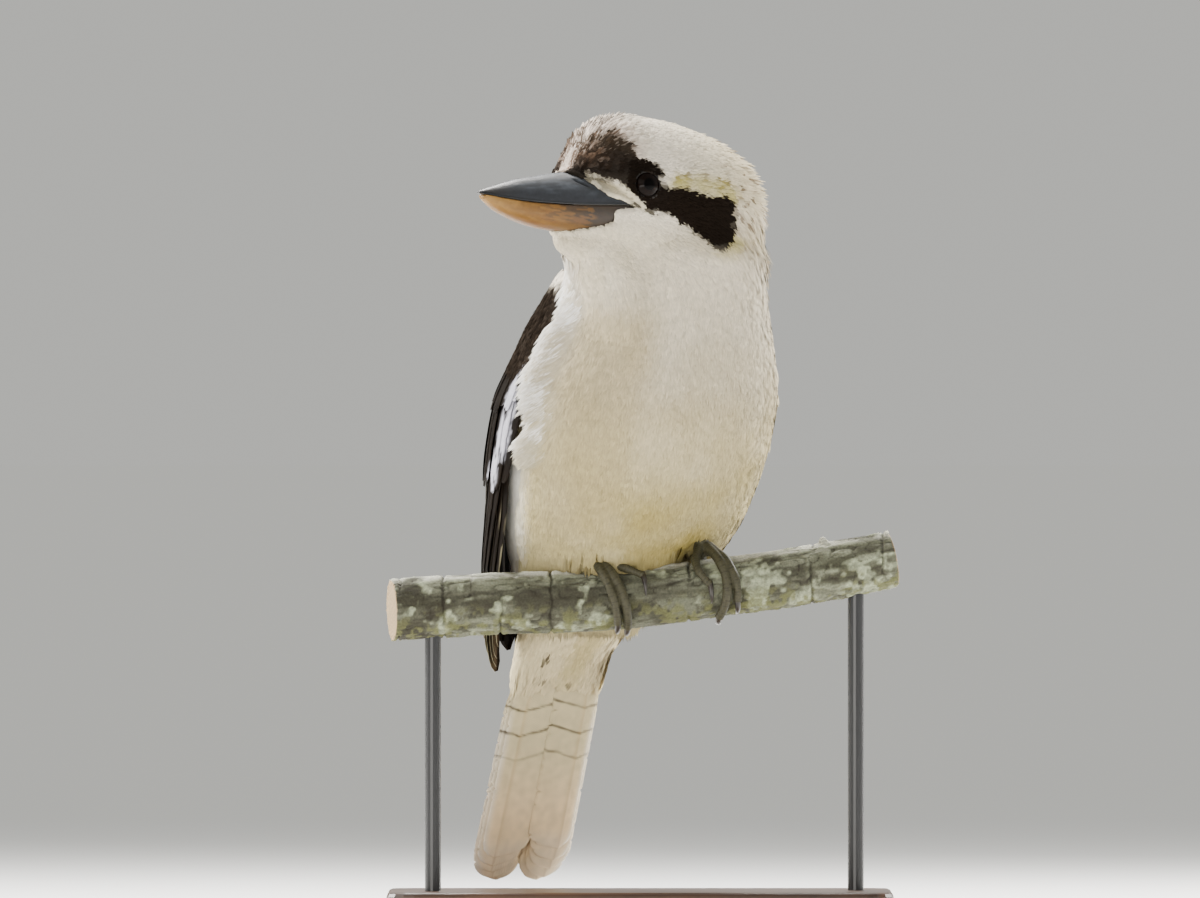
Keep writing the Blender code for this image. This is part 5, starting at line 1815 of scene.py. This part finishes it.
def bark(points):
    """Bark's relief and its colour: long plates, cross cracks, pale lichen and moss underneath."""
    angle, _ = perch_places(points)
    high = np.sin(angle)
    flat = np.stack([points[:, 0], np.cos(angle) * 0.013, high * 0.013], axis=1)
    long_way = flat * np.array((0.35, 1, 1))
    plates, fine = cloud(long_way, 0.0034, 111), cloud(long_way, 0.0011, 112)
    lumps = cloud(flat, 0.011, 113)
    crack = np.zeros(len(points))
    for k, pixel in enumerate(CRACK_PIXELS):
        x = (pixel - ORIGIN_PIXEL_X) / PIXELS_PER_METRE
        bent = 0.0022 * (cloud(flat + k, 0.006, 114) - 0.5)
        shown = smooth(0.25, 0.5, cloud(flat + 3 * k, 0.012, 115))
        crack = np.maximum(crack, smooth(0.0009, 0.0002, np.abs(points[:, 0] - x + bent)) * shown)
    fissure = smooth(0.1, 0.02, np.abs(plates - 0.5)) * smooth(0.35, 0.6, lumps)
    patches = cloud(flat, 0.0085, 116) * 0.65 + cloud(flat, 0.0026, 117) * 0.35
    crust = 0.5 + 0.5 * smooth(0.35, 0.65, cloud(flat, 0.0014, 121))
    bare_part = smooth(0.06, 0.035, np.abs(points[:, 0] + 0.012))
    lichen = smooth(0.5, 0.6, patches - 0.09 * bare_part) * smooth(-2.2, -0.8, angle) * crust
    moss_place = cloud(flat, 0.006, 118) * 0.5 + cloud(flat, 0.0018, 119) * 0.5
    low = smooth(0.2, -0.9, high)
    moss = smooth(0.54, 0.66, moss_place + 0.08 * low) * low
    veins = smooth(0.03, 0.008, np.abs(cloud(flat, 0.0042, 122) - 0.5))
    veins = veins * smooth(0.3, 0.6, cloud(flat, 0.009, 123))
    relief = 0.45 * plates + 0.25 * fine + 0.3 * lumps - 0.9 * crack - 0.45 * fissure
    relief = relief + 0.22 * lichen + 0.15 * moss - 0.35 * veins
    # Large darker patches on the sides and underside, more of them in the middle
    dark_patches = smooth(0.35, 0.62, cloud(flat, 0.016, 124) + 0.12 * bare_part) * smooth(0.95, 0.3, high)
    # The top is painted paler, as painted light from above
    painted_top_light = smooth(0.8, 0.97, high + 0.15 * (fine - 0.5)) * (1 - crack) * smooth(0.25, 0.5, lumps)
    return relief, layered(
        BARK_BROWN,
        (BARK_GREY, smooth(0.35, 0.65, 0.5 * plates + 0.5 * lumps)),
        (BARK_DARK, 0.5 * dark_patches),
        (BARK_DARK, 0.75 * np.maximum(crack, 0.6 * fissure)),
        (BARK_DARK, 0.45 * smooth(0.5, 0.75, fine)),
        (BARK_DARK, 0.7 * veins),
        (LICHEN_PALE * (0.8 + 0.4 * fine)[:, None], 0.75 * lichen * (1 - 0.6 * crack)),
        (TOP_LIT_BARK, 0.75 * painted_top_light),
        (MOSS_GREEN * (0.7 + 0.6 * fine)[:, None], 0.75 * moss),
    )


class KOOKABURRA_OT_perch(bpy.types.Operator):
    """Make the cut length of branch with its bark, lichen and moss"""

    bl_idname = "kookaburra.perch"
    bl_label = "Perch"

    def execute(self, context):
        made = copy_of_nodes("perch_bark", ("perch",))
        apply_modifier(made, "REMESH", mode="VOXEL", voxel_size=0.00062)
        apply_modifier(made, "SMOOTH", factor=0.5, iterations=5)
        points, normals = points_of(made.data), normals_of(made.data)
        relief, colours = bark(points)
        low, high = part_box("perch")
        # The perch leans, so its square cut ends reach back a few millimetres from the box
        ends = smooth(0.008, 0.0065, np.minimum(points[:, 0] - low.x, high.x - points[:, 0]))
        cut = ends * smooth(0.62, 0.85, np.abs(normals[:, 0]))
        depth = context.scene.kookaburra.bark_relief
        move_points(made.data, points + normals * ((relief - 0.45) * depth * (1 - cut))[:, None])
        _, radius = perch_places(points)
        rings = 0.5 + 0.5 * np.sin(radius / 0.0009 * 2 * math.pi + 3 * cloud(points, 0.004, 120))
        wood = mixed(CUT_WOOD, CUT_WOOD * 0.62, rings)
        paint_points(made, mixed(colours, wood, cut))
        material = painted_material("lichened_bark", 0.88, 1.45, 0.0009, 0.75, 1.22, 0.00016)
        dress(made, "perch_bark", material, ("perch",))
        return {"FINISHED"}


# The feet
FOOT_XS = {"right": -0.0215, "left": 0.0292}
FOOT_TOES = {
    "right": (
        (0.0015, 0.012, 0.0215, 84, 36, 0.92),
        (0.001, 0.0105, 0.0135, 86, -52, 1.05),
        (-0.0005, 0.0058, 0.0092, 88, -42, 1.0),
        (-0.001, -0.003, -0.005, 96, 196, 1.0),
    ),
    "left": (
        (-0.0012, -0.0052, -0.001, 84, 8, 0.92),
        (0.0012, 0.0062, 0.002, 86, -54, 1.05),
        (0.0026, 0.0092, 0.01, 86, -26, 0.96),
        (0.0004, 0.0012, 0.002, 96, 196, 1.0),
    ),
}
TOE_RADIUS = 0.0022
LEG_RADIUS = 0.0033
ANKLE_LIFT = 0.0042
# A claw from its root: degrees on round the perch, rise in toe radii, and thickness in toe radii
CLAW_STATIONS = (
    (-6, 0.0, 0.6), (4, 0.25, 0.66), (13, 0.42, 0.54), (22, 0.2, 0.38), (30, -0.2, 0.22), (35, -0.62, 0.05),
)
# Distance between the scutes of a toe
SCALE_SPACING = 0.0013
CLAW_DARK = linear("#1b1714")
CLAW_PALE = linear("#3b332b")


def toe_point(x, along_by, angle, off):
    middle, radius = perch_middle(x + along_by)
    _, up, front = perch_frame(x + along_by)
    a = math.radians(angle)
    return middle + (front * math.cos(a) + up * math.sin(a)) * (radius * 1.03 + off)


def soft_tube(name, points, radii, sides=16):
    """A curve with a round section of changing size, turned into a closed mesh."""
    deselect()
    curve = bpy.data.curves.new(name, "CURVE")
    curve.dimensions = "3D"
    curve.bevel_depth = 1.0
    curve.bevel_resolution = sides // 4
    curve.use_fill_caps = True
    curve.resolution_u = 6
    spline = curve.splines.new("NURBS")
    spline.points.add(len(points) - 1)
    spline.use_endpoint_u = True
    spline.order_u = 4
    for spot, point, radius in zip(spline.points, points, radii):
        spot.co = (*point, 1)
        spot.radius = radius
    made = make_active(new_object(name, curve))
    bpy.ops.object.convert(target="MESH")
    work = bmesh.new()
    work.from_mesh(made.data)
    bmesh.ops.remove_doubles(work, verts=work.verts, dist=1e-6)
    bmesh.ops.recalc_face_normals(work, faces=work.faces)
    work.to_mesh(made.data)
    work.free()
    return made


def places_along(points, lines):
    """How far along the nearest of some lines each point is."""
    scale_at = np.zeros(len(points))
    nearest = np.full(len(points), 1e9)
    for line in lines:
        steps = np.concatenate([[0], np.cumsum(np.linalg.norm(np.diff(line, axis=0), axis=1))])
        fine_at = np.linspace(0, steps[-1], 80)
        spots = np.stack([np.interp(fine_at, steps, line[:, k]) for k in range(3)], axis=1)
        gaps = np.linalg.norm(points[:, None] - spots[None], axis=2)
        closer = gaps.min(axis=1) < nearest
        scale_at = np.where(closer, fine_at[gaps.argmin(axis=1)], scale_at)
        nearest = np.minimum(nearest, gaps.min(axis=1))
    return scale_at


class KOOKABURRA_OT_feet(bpy.types.Operator):
    """Make the scaled toes that grip the perch, and their claws"""

    bl_idname = "kookaburra.feet"
    bl_label = "Feet"

    def execute(self, context):
        skin = painted_material("scaled_toe_skin", 0.62, 1.45, 0.0007, 0.8, 1.18, 0.00008)
        horn = painted_material("claw_horn", 0.35, 1.54, 0.0008, 0.8, 1.15, 0.00002)
        for name, x in FOOT_XS.items():
            pieces, claws, lines = [], [], []
            for near, halfway, far, start, end, share in FOOT_TOES[name]:
                radius = TOE_RADIUS * share
                points, radii = [], []
                for t in np.linspace(0, 1, 13):
                    bent = (2 * halfway - (near + far) / 2) * 2 * t * (1 - t)
                    along_by = near * (1 - t) ** 2 + bent + far * t * t
                    lift = radius * 1.02 + (ANKLE_LIFT - 0.0012) * (1 - t) ** 6
                    pad = 1 + 0.1 * math.cos(2 * math.pi * 3 * t)
                    points.append(toe_point(x, along_by, start + (end - start) * t, lift))
                    radii.append(radius * pad * (1.06 - 0.26 * t))
                pieces.append(soft_tube("toe", points, radii))
                lines.append(np.array(points))
                turn = 1 if end > start else -1
                claw_points = [
                    toe_point(x, far, end + turn * reach, radius * (0.9 + rise))
                    for reach, rise, _ in CLAW_STATIONS
                ]
                claws.append(soft_tube("claw", claw_points, [radius * row[2] for row in CLAW_STATIONS], 12))
            ankle = toe_point(x, 0, 90, ANKLE_LIFT)
            _, up, _ = perch_frame(x)
            heel_points = [ankle + up * rise for rise in (-0.0035, -0.001, 0.0, 0.003, 0.006)]
            pieces.append(soft_tube("heel", heel_points, (0.0034, 0.0039, 0.004, 0.0036, LEG_RADIUS)))
            foot = join_pieces(pieces)
            apply_modifier(foot, "REMESH", mode="VOXEL", voxel_size=0.00034)
            apply_modifier(foot, "SMOOTH", factor=0.5, iterations=4)
            points, normals = points_of(foot.data), normals_of(foot.data)
            scale_at = places_along(points, lines)
            ridge = np.abs(np.sin(scale_at / SCALE_SPACING * math.pi + 1.5 * cloud(points, 0.002, 131)))
            grain = cloud(points, 0.0006, 132)
            relief = 0.00018 * (ridge**0.5 - 0.8) + 0.00008 * (grain - 0.5)
            move_points(foot.data, points + normals * relief[:, None])
            pale = 0.35 + 0.65 * smooth(0.1, 0.5, ridge) * (0.55 + 0.45 * grain)
            paint_points(foot, mixed(TOE_DARK, TOE_OLIVE, pale))
            dress(foot, f"toes_{name}", skin, (f"foot_{name}",))
            claw = join_pieces(claws)
            paint_points(claw, mixed(CLAW_DARK, CLAW_PALE, cloud(points_of(claw.data), 0.002, 133)))
            dress(claw, f"claws_{name}", horn)
        return {"FINISHED"}


# The stand
def two_tones(tree, factor, tones):
    """A ramp between two tones, each given as its place on the factor and its colour."""
    ramp = node(tree, "ShaderNodeValToRGB", {"Fac": factor})
    for element, (place, colour) in zip(ramp.color_ramp.elements, tones):
        element.position = place
        element.color = (*linear(colour), 1)
    return ramp.outputs["Color"]


def stained_wood():
    """Hardwood, planed, stained dark and waxed: long grain under a satin coat."""
    material, tree, shader = new_material("stained_hardwood", 0.38, coat_weight=0.25, coat_roughness=0.25)
    # Growth rings cut along the board show as bands about 6 mm apart, drawn out twelve times along X
    stretched = node(tree, "ShaderNodeMapping", {"Vector": object_place(tree)})
    stretched.inputs["Scale"].default_value = (12, 160, 160)
    vector = {"Vector": stretched.outputs[0]}
    grain = node(tree, "ShaderNodeTexNoise", vector, scale=1.0, detail=6.0, distortion=0.6).outputs["Fac"]
    colour = two_tones(tree, grain, ((0.35, "#2a1a11"), (0.68, "#5a3a24")))
    set_surface(tree, shader, colour, grain, 0.00005, 0.5)
    return material


def satin_steel():
    """Mild steel rod under satin black paint: even, with the paint's fine orange peel."""
    material, tree, shader = new_material("satin_painted_steel", 0.34, coat_weight=0.2, coat_roughness=0.2)
    vector = {"Vector": object_place(tree)}
    peel = node(tree, "ShaderNodeTexNoise", vector, scale=1400.0, detail=2.0).outputs["Fac"]
    colour = two_tones(tree, peel, ((0.0, "#1b1b1d"), (1.0, "#262628")))
    set_surface(tree, shader, colour, peel, 0.00001, 0.4)
    return material


class KOOKABURRA_OT_stand(bpy.types.Operator):
    """Finish the display stand's base and rods"""

    bl_idname = "kookaburra.stand"
    bl_label = "Stand"

    def execute(self, context):
        wood, steel = stained_wood(), satin_steel()
        for name, material in (("stand_base", wood), ("stand_rod_left", steel), ("stand_rod_right", steel)):
            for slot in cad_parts[name].material_slots:
                slot.material = material
        return {"FINISHED"}


# The stage
WARM_WHITE = (1.0, 0.98, 0.94)
FLOOR_RADIUS = 400
SENSOR_WIDTH = 36.0


def area_light(name, place, target, power, size, colour=WARM_WHITE):
    light = bpy.data.lights.new(name, "AREA")
    light.shape = "SQUARE"
    light.size = size
    light.energy = power
    light.color = colour
    made = new_object(name, light)
    made.visible_camera = False
    made.location = place
    made.rotation_euler = (Vector(target) - Vector(place)).to_track_quat("-Z", "Y").to_euler()


class KOOKABURRA_OT_stage(bpy.types.Operator):
    """Set up the plain floor, the soft studio lights and the camera at the photograph's framing"""

    bl_idname = "kookaburra.stage"
    bl_label = "Stage"

    def execute(self, context):
        settings = context.scene.kookaburra
        deselect()
        bpy.ops.mesh.primitive_circle_add(vertices=96, radius=FLOOR_RADIUS, fill_type="NGON")
        floor = context.active_object
        floor.name = "floor"
        matt, _, shader = new_material("matt_paper", 0.95, specular_ior_level=0.0)
        shader.inputs["Base Color"].default_value = (*settings.floor_colour, 1)
        floor.data.materials.append(matt)
        middle = (0, -0.02, 0.21)
        key, rim = settings.key_power, settings.rim_power
        area_light("key", (-1.0, -1.9, 1.4), middle, key, 1.4)
        area_light("fill", (1.8, -1.5, 0.7), middle, key * 0.3, 1.8, (0.93, 0.96, 1.0))
        area_light("low", (-0.5, -1.5, 0.12), (-0.03, -0.02, 0.05), key * 0.85, 0.5, (1.0, 0.97, 0.92))
        area_light("rim_left", (-1.65, 0.6, 1.0), middle, rim * 0.72, 0.5)
        area_light("rim_right", (1.3, 1.2, 0.9), middle, rim * 0.7, 0.5)
        area_light("rim_top", (-0.1, 0.9, 1.9), middle, rim * 0.8, 0.6)
        world = bpy.data.worlds.new("soft_room")
        world.use_nodes = True
        background = world.node_tree.nodes["Background"]
        background.inputs["Color"].default_value = (*linear("#e5e5e0"), 1)
        background.inputs["Strength"].default_value = 0.7
        context.scene.world = world
        lens = bpy.data.cameras.new("camera")
        lens.sensor_width = SENSOR_WIDTH
        lens.lens = SENSOR_WIDTH * CAMERA_DISTANCE / (PHOTO_WIDTH / PIXELS_PER_METRE)
        lens.clip_end = 1000.0
        camera = new_object("camera", lens)
        camera.location = (
            (PHOTO_WIDTH / 2 - ORIGIN_PIXEL_X) / PIXELS_PER_METRE,
            -CAMERA_DISTANCE - 0.02,
            (FLOOR_PIXEL_Y - PHOTO_HEIGHT / 2) / PIXELS_PER_METRE,
        )
        camera.rotation_euler = (math.pi / 2, 0, 0)
        context.scene.camera = camera
        return {"FINISHED"}


PIECES = ("skin", "small_feathers", "wings", "tail", "bill", "eyes", "perch", "feet", "stand", "stage")


class KOOKABURRA_PT_panel(bpy.types.Panel):
    """Lists the kookaburra's sizes and pieces"""

    bl_idname = "KOOKABURRA_PT_panel"
    bl_label = "Laughing Kookaburra"
    bl_space_type = "VIEW_3D"
    bl_region_type = "UI"
    bl_category = "Kookaburra"

    def draw(self, context):
        for key in KookaburraSizes.__annotations__:
            self.layout.prop(context.scene.kookaburra, key)
        for piece in PIECES:
            self.layout.operator(f"kookaburra.{piece}")


CLASSES = (
    KookaburraSizes,
    KOOKABURRA_OT_skin,
    KOOKABURRA_OT_small_feathers,
    KOOKABURRA_OT_wings,
    KOOKABURRA_OT_tail,
    KOOKABURRA_OT_bill,
    KOOKABURRA_OT_eyes,
    KOOKABURRA_OT_perch,
    KOOKABURRA_OT_feet,
    KOOKABURRA_OT_stand,
    KOOKABURRA_OT_stage,
    KOOKABURRA_PT_panel,
)


def register():
    for made in CLASSES:
        bpy.utils.register_class(made)
    bpy.types.Scene.kookaburra = bpy.props.PointerProperty(type=KookaburraSizes)


def unregister():
    del bpy.types.Scene.kookaburra
    for made in reversed(CLASSES):
        bpy.utils.unregister_class(made)


def main():
    register()
    for piece in PIECES:
        getattr(bpy.ops.kookaburra, piece)()
    bpy.data.objects.remove(SHARED["form"]["object"])


if __name__ == "__main__":
    main()
